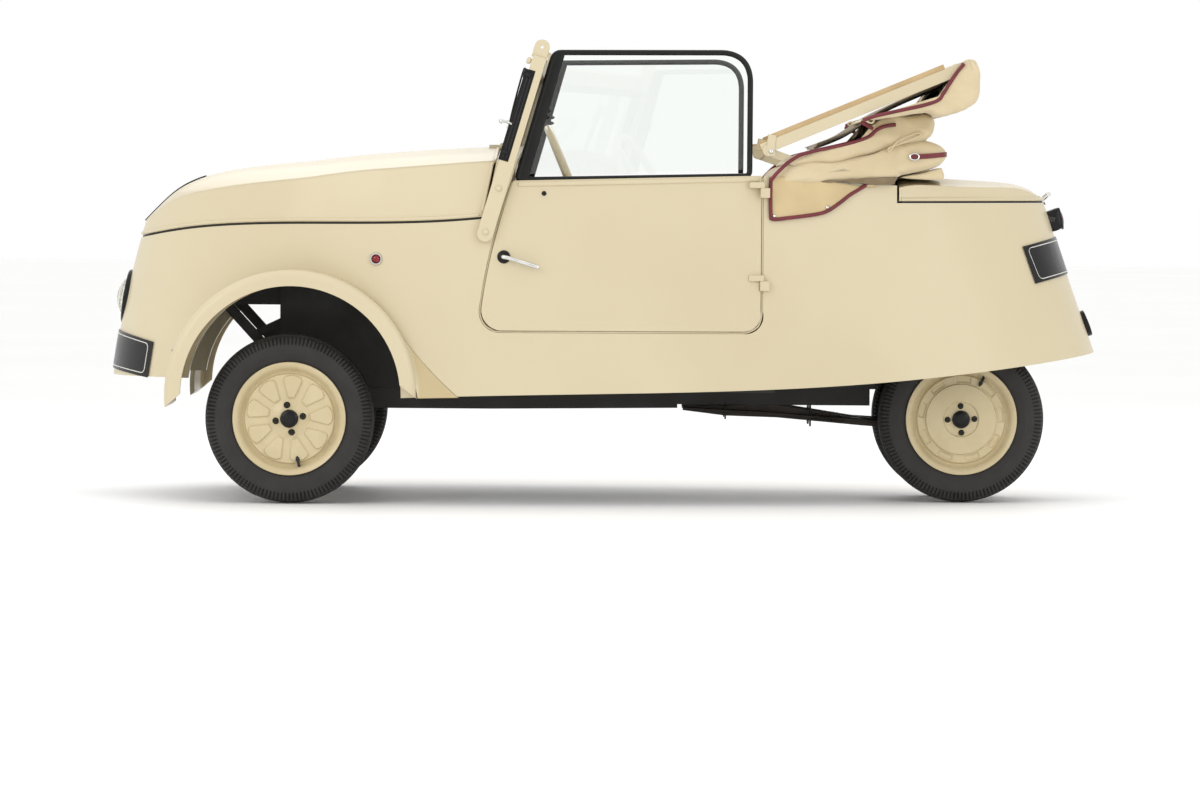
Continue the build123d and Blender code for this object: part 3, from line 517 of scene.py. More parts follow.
tyreShape = {
    "radius": 0.2238, "half": 0.0515, "lugs": 126, "lugDepth": 0.0044, "lugBand": (0.1945, 0.2190, 0.004),
    "rings": ((0.0008, 0.1700, 0.1750, 0.002), (0.0010, 0.1935, 0.1965, 0.001)), "middle": 0.180,
    "grooves": (0.004, 0.015, 0.026), "grooveWidth": 0.005, "grooveDepth": 0.0035, "treadFrom": 0.2150,
    "section": ((0.0375, 0.1412), (0.0385, 0.1490), (0.0440, 0.1580), (0.0496, 0.1720), (0.0514, 0.1860),
                (0.0500, 0.1990), (0.0462, 0.2085), (0.0420, 0.2140), (0.0330, 0.2180), (0.0200, 0.2212),
                (0.0, 0.2236)),
    "bead": ((-0.030, 0.1410), (0.030, 0.1410)),
}


def tyreGrid(centre, outSign):
    # section of the carcass turned about the axle; lugs on the shoulders and grooves round the tread sink it
    s = tyreShape
    section = smoothLine(s["section"], 4)
    section = np.concatenate([section, (section * [-1, 1])[::-1][1:], s["bead"]])
    turns = s["lugs"] * 6
    t = np.linspace(0, 2 * np.pi, turns, endpoint=False)
    half, radius = section[:, :1], section[:, 1:]
    cut = band(np.mod(t[None] * s["lugs"] / (2 * np.pi), 1.0), 0.0, 0.45, 0.14)
    ring = sum(rise * band(radius, *place) for rise, *place in s["rings"])
    grooves = sum(band(np.abs(half), a, a + s["grooveWidth"], 0.0015) for a in s["grooves"])
    grooves = grooves * (radius > s["treadFrom"])
    sink = s["lugDepth"] * cut * band(radius, *s["lugBand"]) + s["grooveDepth"] * grooves - ring
    away = unit(np.stack([section[:, 0] * 0.9, section[:, 1] - s["middle"]], -1))
    half = np.clip(half - sink * away[:, :1], -s["half"], s["half"])
    radius = np.minimum(radius - sink * away[:, 1:], s["radius"])
    y = np.broadcast_to(centre[1] + outSign * half, (len(section), turns))
    return np.stack([centre[0] + radius * np.cos(t), y, centre[2] + radius * np.sin(t)], -1), True, True


axles = {"frontX": 0.828, "rearX": -0.962, "frontHalf": 0.455, "rearHalf": 0.165, "height": 0.224}
frontLeft = xyz(axles["frontX"], axles["frontHalf"], axles["height"])
frontRight = frontLeft * [1, -1, 1]
rearLeft = xyz(axles["rearX"], axles["rearHalf"], axles["height"])
rearRight = rearLeft * [1, -1, 1]
wheelSet = (("front_left", frontLeft, 1, False, "front_left_wheel"),
            ("front_right", frontRight, -1, False, "front_right_wheel"),
            ("rear_left", rearLeft, 1, True, "rear_wheel_pair"),
            ("rear_right", rearRight, -1, True, "rear_wheel_pair"))
for label, centre, side, rear, body in wheelSet:
    tyre = makePiece("tyre_" + label, [tyreGrid(centre, side)], tyreRubber, body)
    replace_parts(tyre, "rear_tyres" if rear else label + "_tyre")
print("tyres done")


# wheel discs

wheelShape = {
    "petals": 9, "petalTurn": 5.0, "petalLift": 0.0058, "petalFoot": 0.052, "petalSpread": 0.34,
    "petalTip": 0.098, "windows": 9, "windowTurn": 0.33, "windowHalf": 0.021,
    "windowBand": (0.0985, 0.1150, 0.003), "windowDepth": 0.0040,
    "front": {"face": ((0.0, 0.0345), (0.028, 0.0345), (0.033, 0.0325), (0.046, 0.0295), (0.050, 0.0272)),
              "disc": (0.052, 0.1165, 34), "level": 0.0270, "capBase": 0.0345, "nutTurn": 10,
              "valveTurn": -78.0},
    "rear": {"face": ((0.0, 0.0300), (0.028, 0.0300), (0.0455, 0.0300), (0.0465, 0.0315), (0.0485, 0.0335),
                      (0.060, 0.0335), (0.090, 0.0330), (0.0935, 0.0325)),
             "disc": (0.0955, 0.1165, 16), "level": 0.0262, "capBase": 0.0300, "nutTurn": 2,
             "valveTurn": 62.0},
    "rim": ((0.1185, 0.0235), (0.1205, 0.0195), (0.1245, 0.0185), (0.1275, 0.0205), (0.1300, 0.0270),
            (0.1325, 0.0340), (0.1365, 0.0388), (0.1410, 0.0418), (0.1455, 0.0442), (0.1478, 0.0448),
            (0.1492, 0.0436), (0.1494, 0.0410), (0.1485, 0.0392), (0.1412, 0.0385)),
    "back": ((0.1402, 0.0), (0.1412, -0.0385), (0.1485, -0.0392), (0.1494, -0.0430), (0.1478, -0.0448),
             (0.1410, -0.0418), (0.1330, -0.0340), (0.1262, -0.0180), (0.1240, 0.0060), (0.1200, 0.0130),
             (0.0600, 0.0170), (0.0460, 0.0130), (0.0360, -0.0080), (0.0330, -0.0280), (0.0, -0.0280)),
    "cap": ((0, -0.004), (0.0240, -0.004), (0.0240, 0.0055), (0.0225, 0.0085), (0.0160, 0.0110),
            (0.0150, 0.0135), (0.0085, 0.0150), (0.0, 0.0152)),
    "nuts": 4, "nutCircle": 0.036, "nut": (0.0095, 0.0125), "stud": (0.00589, 0.0155), "nutSink": 0.006,
    "valve": ((0.1290, 0.0180), (0.1265, 0.0290), (0.1200, 0.0335), (0.1060, 0.0345)),
    "valveRadius": 0.0038, "valveCap": (0.0058, 0.013), "valveCapBack": 0.008,
}


def wheelGrid(centre, side, rear):
    # rim and disc as one profile turned about the axle, with pressed petals or windows lifting the disc
    w, own = wheelShape, wheelShape["rear" if rear else "front"]
    face = [*own["face"], *((r, own["level"]) for r in np.linspace(*own["disc"]))]
    profile = np.array([*face, *w["rim"], *w["back"]])
    t = np.linspace(0, 2 * np.pi, 432, endpoint=False)
    radius, height = profile[:, :1], profile[:, 1:] + 0 * t[None]
    front = (np.arange(len(profile)) < len(face))[:, None]
    if rear:
        pitch = np.mod(t[None] / (2 * np.pi) * w["windows"] + w["windowTurn"], 1.0) - 0.5
        lateral = pitch * 2 * np.pi * radius / w["windows"]
        window = band(lateral, -w["windowHalf"], w["windowHalf"], 0.0035) * band(radius, *w["windowBand"])
        height = height - w["windowDepth"] * window * front
    else:
        count = w["petals"]
        pitch = np.mod(t[None] * count / (2 * np.pi) - w["petalTurn"] * count / 360 + 0.5, 1.0) - 0.5
        lateral = np.abs(pitch) * 2 * np.pi / count * radius
        width = 0.0085 + (radius - w["petalFoot"]) * w["petalSpread"]
        width = width * np.sqrt(np.clip(1 - (np.clip(radius - w["petalTip"], 0, None) / 0.0160) ** 3, 0, 1))
        petal = (1 - step(lateral, width - 0.0036, width + 0.0014)) * step(radius, 0.0515, 0.0580)
        height = height + w["petalLift"] * petal * front
    grid = np.stack([centre[0] - radius * np.cos(t), centre[1] + side * height,
                     centre[2] + radius * np.sin(t)], -1)
    return grid, False, True


def hubParts(centre, side, rear):
    # domed cap and four round nuts on studs
    w, own = wheelShape, wheelShape["rear" if rear else "front"]
    out = xyz(0.0, side, 0.0)
    base = centre + out * own["capBase"]
    parts = [spun(w["cap"], base, out, 40)]
    for k in range(w["nuts"]):
        angle = math.radians(own["nutTurn"] + 360 / w["nuts"] * k)
        spot = base + w["nutCircle"] * xyz(-math.cos(angle), 0, math.sin(angle)) - out * w["nutSink"]
        parts.append(dome(spot, out, *w["nut"], 18))
        parts.append(hexNut(spot, out, *w["stud"]))
    return parts


def valveStem(centre, side, rear):
    w, angle = wheelShape, math.radians(wheelShape["rear" if rear else "front"]["valveTurn"])
    ray = xyz(-math.cos(angle), 0.0, math.sin(angle))
    out = xyz(0.0, side, 0.0)
    path = [centre + ray * reach + out * away for reach, away in w["valve"]]
    stem = tube(smoothLine(path, 5), w["valveRadius"], 10, up=(0.0, 0.3, 1.0))
    return [stem, dome(path[-1] + ray * w["valveCapBack"], -ray, *w["valveCap"], 14)]


for label, centre, side, rear, body in wheelSet:
    wheel = makePiece("wheel_" + label, [wheelGrid(centre, side, rear)], wheelEnamel, body)
    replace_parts(wheel, "rear_wheels" if rear else body)
    makePiece("hub_" + label, hubParts(centre, side, rear), blackEnamel, body)
    makePiece("valve_" + label, valveStem(centre, side, rear), tyreRubber, body)
shaftProfile = ((0, -0.160), (0.019, -0.160), (0.019, 0.160), (0, 0.160))
driveShaft = spun(shaftProfile, (axles["rearX"], 0, axles["height"]))
makePiece("drive_shaft", [driveShaft], oiledSteel, "rear_wheel_pair", "grey_iron")
print("wheels done")


# bonnet

bonnetTrim = {"bead": 0.0050, "rearBead": 0.0042, "beadRise": 0.0112, "sealRise": 0.0031, "sealIn": 0.0105,
              "sealSize": (0.014, 0.0050), "beadEnd": 0.330, "sealEnd": 0.3195,
              "seam": ((1.400, 0.676), (1.245, 0.698), (1.150, 0.715), (0.912, 0.735), (0.200, 0.772))}
seamX, seamZ = splineThrough(bonnetTrim["seam"], 300)[::-1].T


def seamHeight(x):
    return np.interp(x, seamX, seamZ)


lowEdge = roundBody(lambda x: seamHeight(x) + bonnetTrim["beadRise"], bonnetTrim["beadEnd"],
                    True, -0.001, 140)
makePiece("bonnet_lower_bead", [tube(lowEdge, bonnetTrim["bead"], 12)], creamEnamel, "bonnet")


bonnetRear = {"flank": (0.775, 0.900), "foot": (0.3355, 0.700), "lean": -0.0515 / 0.260, "corner": 0.012,
              "crownX": 0.2865, "crown": 0.9478, "crownRound": 7.55, "sink": 0.001}


def bonnetRearLine(count=60):
    # up the left flank on the raked rear edge, over the crown and down the right flank
    z = np.linspace(*bonnetRear["flank"], count)
    x = bonnetRear["foot"][0] + (z - bonnetRear["foot"][1]) * bonnetRear["lean"]
    flank = np.stack([x, bodyHalf(x, z) - bonnetRear["sink"], z], -1)
    y = np.linspace(flank[-1, 1] - bonnetRear["corner"], 0, count)
    top = np.stack([np.full(count, bonnetRear["crownX"]), y,
                    bonnetRear["crown"] - y ** 2 / bonnetRear["crownRound"]], -1)
    half = np.concatenate([flank, top])
    return np.concatenate([half, (half * [1, -1, 1])[::-1][1:]])


rearBead = tube(bonnetRearLine(), bonnetTrim["rearBead"], 10, up=(1.0, 0.0, 0.2))
makePiece("bonnet_rear_bead", [rearBead], creamEnamel, "bonnet")
sealLine = roundBody(lambda x: seamHeight(x) + bonnetTrim["sealRise"], bonnetTrim["sealEnd"],
                     True, -bonnetTrim["sealIn"], 140)
makePiece("bonnet_seal", [bar(sealLine, *bonnetTrim["sealSize"], power=5.0)], matRubber)
print("bonnet trim done")


# headlamp and side lamps

lamp = {
    "centre": xyz(1.290, 0.0, 0.534), "tilt": math.radians(9.0), "lens": 0.0605, "sag": 0.034, "glass": 0.004,
    "flutes": 15, "fluteDepth": 0.0011, "fluteFade": (0.050, 0.058), "bulb": (0.011, 0.026),
    "bulbBack": 0.050, "holder": (0.013, 0.010), "holderBack": 0.058, "bezel": (0.0672, 0.0066),
    "bezelAhead": 0.006,
    "bowl": ((0.0605, -0.003), (0.050, -0.030), (0.032, -0.050), (0.012, -0.058), (0, -0.058), (0, -0.0595),
             (0.013, -0.0595), (0.033, -0.0515), (0.0512, -0.031), (0.0608, -0.0035), (0.0605, -0.003)),
}
lampAxis = xyz(math.cos(lamp["tilt"]), 0.0, math.sin(lamp["tilt"]))


def fluteLens():
    # spherical cap whose face carries upright flutes, closed by a plain face behind it
    rows, cols = 40, 96
    r = np.linspace(0, 1, rows)[:, None] * lamp["lens"]
    t = np.linspace(0, 2 * np.pi, cols, endpoint=False)[None]
    ball = (lamp["lens"] ** 2 + lamp["sag"] ** 2) / (2 * lamp["sag"])
    rise = np.sqrt(ball ** 2 - r ** 2) - (ball - lamp["sag"]) + 0 * t
    across, up, along = facing(lampAxis)
    u, v = r * np.cos(t), r * np.sin(t)
    flute = np.cos(u / lamp["lens"] * np.pi * lamp["flutes"]) * (1 - step(r, *lamp["fluteFade"]))
    base = lamp["centre"] + u[..., None] * across + v[..., None] * up
    front = base + (rise + lamp["fluteDepth"] * flute)[..., None] * along
    back = base + (rise - lamp["glass"])[..., None] * along
    return np.concatenate([front, back[::-1]]), False, True


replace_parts(makePiece("headlamp_lens_fluted", [fluteLens()], lampGlass), "headlamp_lens")
makePiece("headlamp_reflector", [spun(lamp["bowl"], lamp["centre"], lampAxis, 64)], chromePlate)
bulb = dome(lamp["centre"] - lampAxis * lamp["bulbBack"], lampAxis, *lamp["bulb"])
holder = hexNut(lamp["centre"] - lampAxis * lamp["holderBack"], lampAxis, *lamp["holder"])
makePiece("headlamp_bulb", [bulb, holder], lampGlass)
bezel = pipeRing(lamp["centre"] + lampAxis * lamp["bezelAhead"], lampAxis, *lamp["bezel"], 72, 14, 1.2)
makePiece("headlamp_bezel", [bezel], blackEnamel)

sideLamp = {"x": 0.599, "z": 0.647, "glass": (0.01131, 0.0085), "glassOut": 0.001,
            "rim": ((0, -0.004), (0.0172, -0.004), (0.0172, 0.003), (0.0150, 0.0062), (0.0122, 0.0062),
                    (0.0108, 0.002), (0, 0.002))}
ruby, rings = [], []
for side in (1, -1):
    spot = xyz(sideLamp["x"], side * bodyHalf(sideLamp["x"], sideLamp["z"]), sideLamp["z"])
    out = unit(xyz(0.05, side, 0.02))
    ruby.append(dome(spot + out * sideLamp["glassOut"], out, *sideLamp["glass"], 24, 8))
    rings.append(spun(sideLamp["rim"], spot, out, 40))
makePiece("side_lamp_glasses", ruby, rubyGlass)
makePiece("side_lamp_rims", rings, chromePlate)
print("lamps done")


# windscreen and door furniture

screen = {
    "foot": xyz(0.272, 0.0, 0.854), "rake": math.radians(16.5), "strapOut": 0.5862, "sashOut": 0.584,
    "boltUps": (-0.140, -0.021), "bolt": (0.0082, 0.0055), "wingNut": (0.578, 0.322, 0.010),
    "nut": ((0, 0), (0.005, 0), (0.005, 0.006), (0.009, 0.009), (0.009, 0.015), (0.006, 0.018), (0, 0.018)),
    "knobUps": (0.075, 0.285), "knob": (0.0085, 0.007), "knobAhead": 0.012,
    "lever": ((0.586, 0.150, 0.018), (0.592, 0.152, 0.030), (0.592, 0.150, 0.046)),
    "leverRadius": 0.0040, "leverEnd": (0.0075, 0.010), "leverEndBack": 0.004,
    "ribUps": (0.060, 0.180, 0.292), "ribsAhead": (0.004, 0.013), "rib": 0.0024,
}
screenUp = xyz(-math.sin(screen["rake"]), 0.0, math.cos(screen["rake"]))
screenOut = xyz(math.cos(screen["rake"]), 0.0, math.sin(screen["rake"]))


def onScreen(y, up, out):
    # point of the raked screen plane: across the car, up the pillar and ahead of it
    return screen["foot"] + xyz(0.0, y, 0.0) + screenUp * up + screenOut * out


strapBolts, knobs, chromeBits = [], [], []
for side in (1, -1):
    out = xyz(0.0, side, 0.0)
    for up in screen["boltUps"]:
        strapBolts.append(dome(onScreen(side * screen["strapOut"], up, 0.0), out, *screen["bolt"], 20))
    y, up, front = screen["wingNut"]
    strapBolts.append(spun(screen["nut"], onScreen(side * y, up, front), screenOut, 24))
    for up in screen["knobUps"]:
        spot = onScreen(side * screen["sashOut"], up, screen["knobAhead"])
        knobs.append(dome(spot, out, *screen["knob"], 18))
    lever = [onScreen(side * y, up, front) for y, up, front in screen["lever"]]
    chromeBits.append(tube(smoothLine(lever, 6), screen["leverRadius"], 10))
    spot = lever[-1] - screenOut * screen["leverEndBack"]
    chromeBits.append(dome(spot, screenOut, *screen["leverEnd"], 16))
    for front in screen["ribsAhead"]:
        rib = [onScreen(side * screen["sashOut"], up, front) for up in screen["ribUps"]]
        knobs.append(tube(rib, screen["rib"], 8))
makePiece("screen_strap_bolts", strapBolts, creamEnamel)
makePiece("screen_sash_knobs", knobs, blackEnamel)
makePiece("screen_stay_fittings", chromeBits, chromePlate)

wiper = {"arm": ((0.28, 0.290, 0.026), (0.275, 0.300, 0.034), (0.24, 0.190, 0.032), (0.21, 0.110, 0.026)),
         "armRadius": 0.0025, "blade": ((0.255, 0.235, 0.022), (0.205, 0.090, 0.022)),
         "bladeSize": (0.006, 0.010), "spindle": (0.28, 0.292, 0.022),
         "boss": ((0, 0), (0.012, 0), (0.012, 0.008), (0.008, 0.012), (0, 0.012))}
arm, blade = ([onScreen(*place) for place in wiper[key]] for key in ("arm", "blade"))
makePiece("wiper_arm", [
    tube(smoothLine(arm, 6), wiper["armRadius"], 8), bar(blade, *wiper["bladeSize"], up=forward),
    spun(wiper["boss"], onScreen(*wiper["spindle"]), screenOut, 24)], blackEnamel)

windowShape = {
    "origin": xyz(0.230, 0.546, 0.0), "along": unit(xyz(-0.615, -0.084, 0.0)), "radius": 0.0074,
    "outline": ((-0.0016, 0.8570), (0.0955, 1.1915), (0.6165, 1.1965), (0.6165, 0.8720)),
    "corners": (0.012, 0.016, 0.0725, 0.012),
    "channel": ((0.0150, 0.858), (0.0625, 1.022), (0.1105, 1.1895)), "channelSize": (0.026, 0.012),
    "grips": ((0.012, 0.0), (0.014, 0.016)), "gripSize": (0.0055, 0.012),
}


def roundedLoop(corners, radii, steps=12):
    # straight runs joined by quarter-like arcs, each a quadratic curve between its two tangent points
    corners = np.array(corners)
    before, after = np.roll(corners, 1, 0), np.roll(corners, -1, 0)
    reach = np.array(radii)[:, None]
    start = corners + unit(before - corners) * reach
    end = corners + unit(after - corners) * reach
    t = np.linspace(0, 1, steps)[None, :, None]
    middle = corners * 0.88 + (start + end) * 0.06
    arcs = (1 - t) ** 2 * start[:, None] + 2 * t * (1 - t) * middle[:, None] + t ** 2 * end[:, None]
    return arcs.reshape(-1, 2)


def onWindow(flat):
    # points of the window's plane, given along the door and up
    return windowShape["origin"] + flat[:, :1] * windowShape["along"] + flat[:, 1:] * xyz(*upward)


def windowLoop():
    flat = roundedLoop(windowShape["outline"], windowShape["corners"])
    return onWindow(evenly(np.concatenate([flat, flat[:1]]), 260, False))


windowNormal = (-windowShape["along"][1], windowShape["along"][0], 0.0)
handleShape = {"x": 0.264, "z": 0.655, "sink": 0.001, "leverEnd": (-0.082, 0.010, -0.024),
               "necks": (0.010, 0.0185),
               "rose": ((0, -0.004), (0.0175, -0.004), (0.0175, 0.003), (0.0155, 0.0065), (0.0095, 0.0080),
                        (0.0085, 0.0140), (0, 0.0140)),
               "thickAt": (0, 0.25, 0.5, 0.85, 1.0), "thick": (0.0056, 0.0060, 0.0050, 0.0062, 0.0030)}
doorTop = {"ends": (0.228, -0.404), "front": 0.240, "low": 0.845, "slope": 0.018 / 0.652,
           "size": (0.006, 0.012)}
catchShape = {"x": 0.160, "z": 0.822, "head": (0.0065, 0.005), "nut": (0.0035, 0.0075)}
for label, side in (("left", 1), ("right", -1)):
    body = "door_" + label
    turnOver = (lambda patch: patch) if side == 1 else flipped
    frameTube = turnOver(tube(windowLoop(), windowShape["radius"], 14, True, windowNormal))
    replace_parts(makePiece(body + "_window_tube", [frameTube], blackEnamel, body), body + "_window_frame")
    post = onWindow(np.array(windowShape["channel"]))
    channel = [bar(post, *windowShape["channelSize"], up=windowNormal, power=5.0)]
    for back, up in windowShape["grips"]:
        spot = post[1] + windowShape["along"] * back + xyz(0.0, 0.0, up)
        channel.append(dome(spot, windowShape["along"], *windowShape["gripSize"], 16))
    makePiece(body + "_window_channel", [turnOver(patch) for patch in channel], blackEnamel, body)
    y = bodyHalf(handleShape["x"], handleShape["z"]) - handleShape["sink"]
    base = xyz(handleShape["x"], y, handleShape["z"])
    out = unit(xyz(0.02, 1.0, 0.0))
    rose = spun(handleShape["rose"], base, out, 40)
    tip = base + handleShape["leverEnd"]
    neck = [base + out * reach for reach in handleShape["necks"]]
    bend = base + out * 0.0215 + xyz(-0.018, 0, -0.004)
    lever = smoothLine([*neck, bend, tip + out * 0.008, tip + xyz(-0.006, 0.005, -0.002)], 8)
    grow = np.interp(np.linspace(0, 1, len(lever)), handleShape["thickAt"], handleShape["thick"])
    rings = alongPath(lever, oval(2, 2, 14), False, (0.0, 0.3, 1.0))
    rings = lever[:, None] + (rings - lever[:, None]) * grow[:, None, None]
    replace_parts(makePiece(body + "_lever", [turnOver((capped(rings), False, True))], chromePlate, body),
                body + "_handle")
    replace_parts(makePiece(body + "_rose", [turnOver(rose)], blackEnamel, body), body + "_handle")
    x = np.linspace(*doorTop["ends"], 40)
    z = doorTop["low"] + (doorTop["front"] - x) * doorTop["slope"]
    moulding = bar(np.stack([x, bodyHalf(x, z) + 0.0005, z], -1), *doorTop["size"], power=3.0)
    makePiece(body + "_top_moulding", [turnOver(moulding)], creamEnamel, body)
    spot = xyz(catchShape["x"], bodyHalf(catchShape["x"], catchShape["z"]), catchShape["z"])
    catch = [dome(spot, leftward, *catchShape["head"], 18), hexNut(spot, leftward, *catchShape["nut"])]
    makePiece(body + "_catch", [turnOver(patch) for patch in catch], blackEnamel, body)

jamb = {"gap": 0.0034, "radius": 0.0024, "deep": 0.0038,
        "outline": ((240, 850), (266, 775), (290, 690), (309, 600), (322, 520), (319, 494), (309, 477),
                    (293, 467), (272, 462), (150, 462), (0, 462), (-150, 462), (-300, 462), (-366, 462),
                    (-386, 467), (-402, 478), (-409, 494), (-412, 516), (-412, 560), (-412, 640),
                    (-412, 760), (-412, 868))}


def jambLine():
    # the door's outline pushed out by the gap, sunk a little below the skin
    flat = outlineOf(jamb["outline"], 6)
    tangent = unit(np.gradient(flat, axis=0))
    flat = flat + np.stack([-tangent[:, 1], tangent[:, 0]], -1) * jamb["gap"]
    return np.stack([flat[:, 0], bodyHalf(flat[:, 0], flat[:, 1]) - jamb["deep"], flat[:, 1]], -1)


doorJamb = tube(jambLine(), jamb["radius"], 8, up=leftward)
makePiece("door_jamb_beads", [doorJamb, flipped(doorJamb)], panelEnamel)
print("screen and doors done")


# cabin

dial = {"centre": xyz(0.2352, 0.0, 0.872), "radius": 0.042, "rim": 0.0045,
        "face": ((0, -0.002), (0.040, -0.002), (0.040, 0.0015), (0, 0.0015)), "rise": 0.002,
        "markRise": 0.0018, "marks": 9, "markTurn": (-35, 31.25), "markRun": (0.029, 0.037),
        "markSize": (0.0016, 0.0008), "needle": (0, 0.018, 0.022), "needleRise": 0.0032,
        "needleSize": (0.0022, 0.001), "cap": (0.004, 0.003)}
toDriver = xyz(-1.0, 0.0, 0.0)
makePiece("dial_face", [spun(dial["face"], dial["centre"], toDriver, 48)], whiteEnamel, slot="cream_paint")
rim = pipeRing(dial["centre"] + toDriver * dial["rise"], toDriver, dial["radius"], dial["rim"], 56, 10)
makePiece("dial_rim", [rim], chromePlate)
marks = []
for k in range(dial["marks"]):
    angle = math.radians(dial["markTurn"][0] + dial["markTurn"][1] * k)
    ray = xyz(0.0, -math.cos(angle), math.sin(angle))
    mark = [dial["centre"] + toDriver * dial["markRise"] + ray * reach for reach in dial["markRun"]]
    marks.append(bar(mark, *dial["markSize"], up=forward))
needle = dial["centre"] + toDriver * dial["needleRise"]
marks.append(bar([needle, needle + dial["needle"]], *dial["needleSize"], up=forward))
marks.append(dome(dial["centre"] + toDriver * dial["rise"], toDriver, *dial["cap"], 16))
makePiece("dial_marks", marks, blackEnamel)
switch = {"x": 0.2358, "z": 0.868, "places": (-0.10, -0.16, 0.09),
          "profile": ((0, 0), (0.010, 0), (0.010, 0.004), (0.0045, 0.006), (0.0045, 0.014), (0.0085, 0.017),
                      (0.0085, 0.024), (0.006, 0.027), (0, 0.027))}
switches = [spun(switch["profile"], (switch["x"], y, switch["z"]), toDriver, 28) for y in switch["places"]]
makePiece("dash_switches", switches, blackEnamel)

steering = {"tilt": math.radians(22.6), "centre": (0.080, 0.225, 0.820),
            "cap": ((0, 0.010), (0.026, 0.010), (0.026, 0.0165), (0.021, 0.0205), (0, 0.0225))}
wheelAxis = xyz(-math.cos(steering["tilt"]), 0.0, math.sin(steering["tilt"]))
bossCap = spun(steering["cap"], steering["centre"], wheelAxis, 40)
makePiece("steering_boss_cap", [bossCap], blackEnamel, "steering_wheel")

hideShape = {"voxel": 0.009, "frames": 16, "pressure": 3.0, "most": 0.012, "channel": 0.105, "depth": 0.007,
             "seam": 0.007, "stiffness": 30.0}


def vertexRows(mesh, key="co"):
    rows = np.empty(len(mesh.vertices) * 3, np.float32)
    mesh.vertices.foreach_get(key, rows)
    return rows.reshape(-1, 3)


def withModifiers(piece):
    return bpy.data.meshes.new_from_object(piece.evaluated_get(bpy.context.evaluated_depsgraph_get()))


def smoothed(piece):
    finer = piece.modifiers.new("smooth", "SUBSURF")
    finer.levels = finer.render_levels = 1


def swell(piece):
    # pressure inside the block crowns its faces and pulls the sides in between the corners
    remesh = piece.modifiers.new("remesh", "REMESH")
    remesh.mode = "VOXEL"
    remesh.voxel_size = hideShape["voxel"]
    bpy.context.view_layer.update()
    shape = withModifiers(piece)
    piece.modifiers.clear()
    piece.data = shape
    rest = vertexRows(shape)
    cloth = piece.modifiers.new("cloth", "CLOTH")
    cloth.settings.use_pressure = True
    cloth.settings.uniform_pressure_force = hideShape["pressure"]
    cloth.settings.effector_weights.gravity = 0.0
    cloth.settings.tension_stiffness = hideShape["stiffness"]
    cloth.settings.compression_stiffness = hideShape["stiffness"]
    cloth.collision_settings.use_collision = False
    cloth.point_cache.frame_start = 1
    cloth.point_cache.frame_end = hideShape["frames"] + 1
    for number in range(1, hideShape["frames"] + 1):
        bpy.context.scene.frame_set(number)
    settled = withModifiers(piece)
    piece.modifiers.clear()
    piece.data = settled
    shift = vertexRows(settled) - rest
    size = np.linalg.norm(shift, axis=1, keepdims=True)
    rest = rest + shift * np.minimum(1, hideShape["most"] / np.maximum(size, 1e-9))
    settled.vertices.foreach_set("co", rest.astype(np.float32).ravel())
    bpy.context.scene.frame_set(1)
    return piece


def softBlock(low, high, lean=0.0, taper=0.0, power=7.0, rows=40, cols=72):
    # superellipsoid block; lean moves it back with height and taper narrows it towards the rear
    v = np.linspace(-np.pi / 2, np.pi / 2, rows)[:, None]
    u = np.linspace(0, 2 * np.pi, cols, endpoint=False)[None]
    bend = lambda a: np.sign(a) * np.abs(a) ** (2 / power)
    x, y = bend(np.cos(v)) * bend(np.cos(u)), bend(np.cos(v)) * bend(np.sin(u))
    z = bend(np.sin(v)) + 0 * u
    centre, half = (np.array(low) + np.array(high)) / 2, (np.array(high) - np.array(low)) / 2
    grid = np.stack([x, y, z], -1) * half + centre
    grid[..., 1] *= 1 + taper * x
    grid[..., 0] += lean * z
    return grid, False, True


def channels(piece):
    # sewn channels running front to back sink the upper face along its normal
    co, normal = vertexRows(piece.data), vertexRows(piece.data, "normal")
    away = np.abs(np.mod(co[:, 1] / hideShape["channel"] + 0.5, 1.0) - 0.5) * hideShape["channel"]
    facingUp = step(normal[:, 2] * 0.8 + normal[:, 0] * 0.6, 0.45, 0.8)
    co -= normal * (hideShape["depth"] * np.exp(-(away / hideShape["seam"]) ** 2) * facingUp)[:, None]
    piece.data.vertices.foreach_set("co", co.astype(np.float32).ravel())
    piece.data.update()


for name, block, node in (
        ("seat_cushion_hide", softBlock((-0.306, -0.440, 0.322), (0.093, 0.440, 0.462), 0.0, 0.035),
         "seat_cushion"),
        ("seat_back_hide", softBlock((-0.372, -0.412, 0.484), (-0.290, 0.412, 0.800), -0.056), "seat_back")):
    piece = makePiece(name, [block], seatHide)
    swell(piece)
    channels(piece)
    piece.data.shade_smooth()
    smoothed(piece)
    piece.data.materials.clear()
    piece.data.materials.append(seatHide)
    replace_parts(piece, node)
print("cabin done")


# folded hood

hood = {"half": 0.487, "dome": 0.036, "wrinkle": 0.0034, "seed": 7, "pipe": 0.0050, "splitAnchor": 1.044,
        "widthAt": (0.432, 0.766, 0.95), "widths": (0.487, 0.412, 0.405), "endHalf": 0.405,
        "headerHalf": 0.5165, "headerDome": 0.020, "tabHalf": 0.470, "edgeLoop": 0.0024, "tabLoop": 0.0026,
        "cloth": 0.0016}
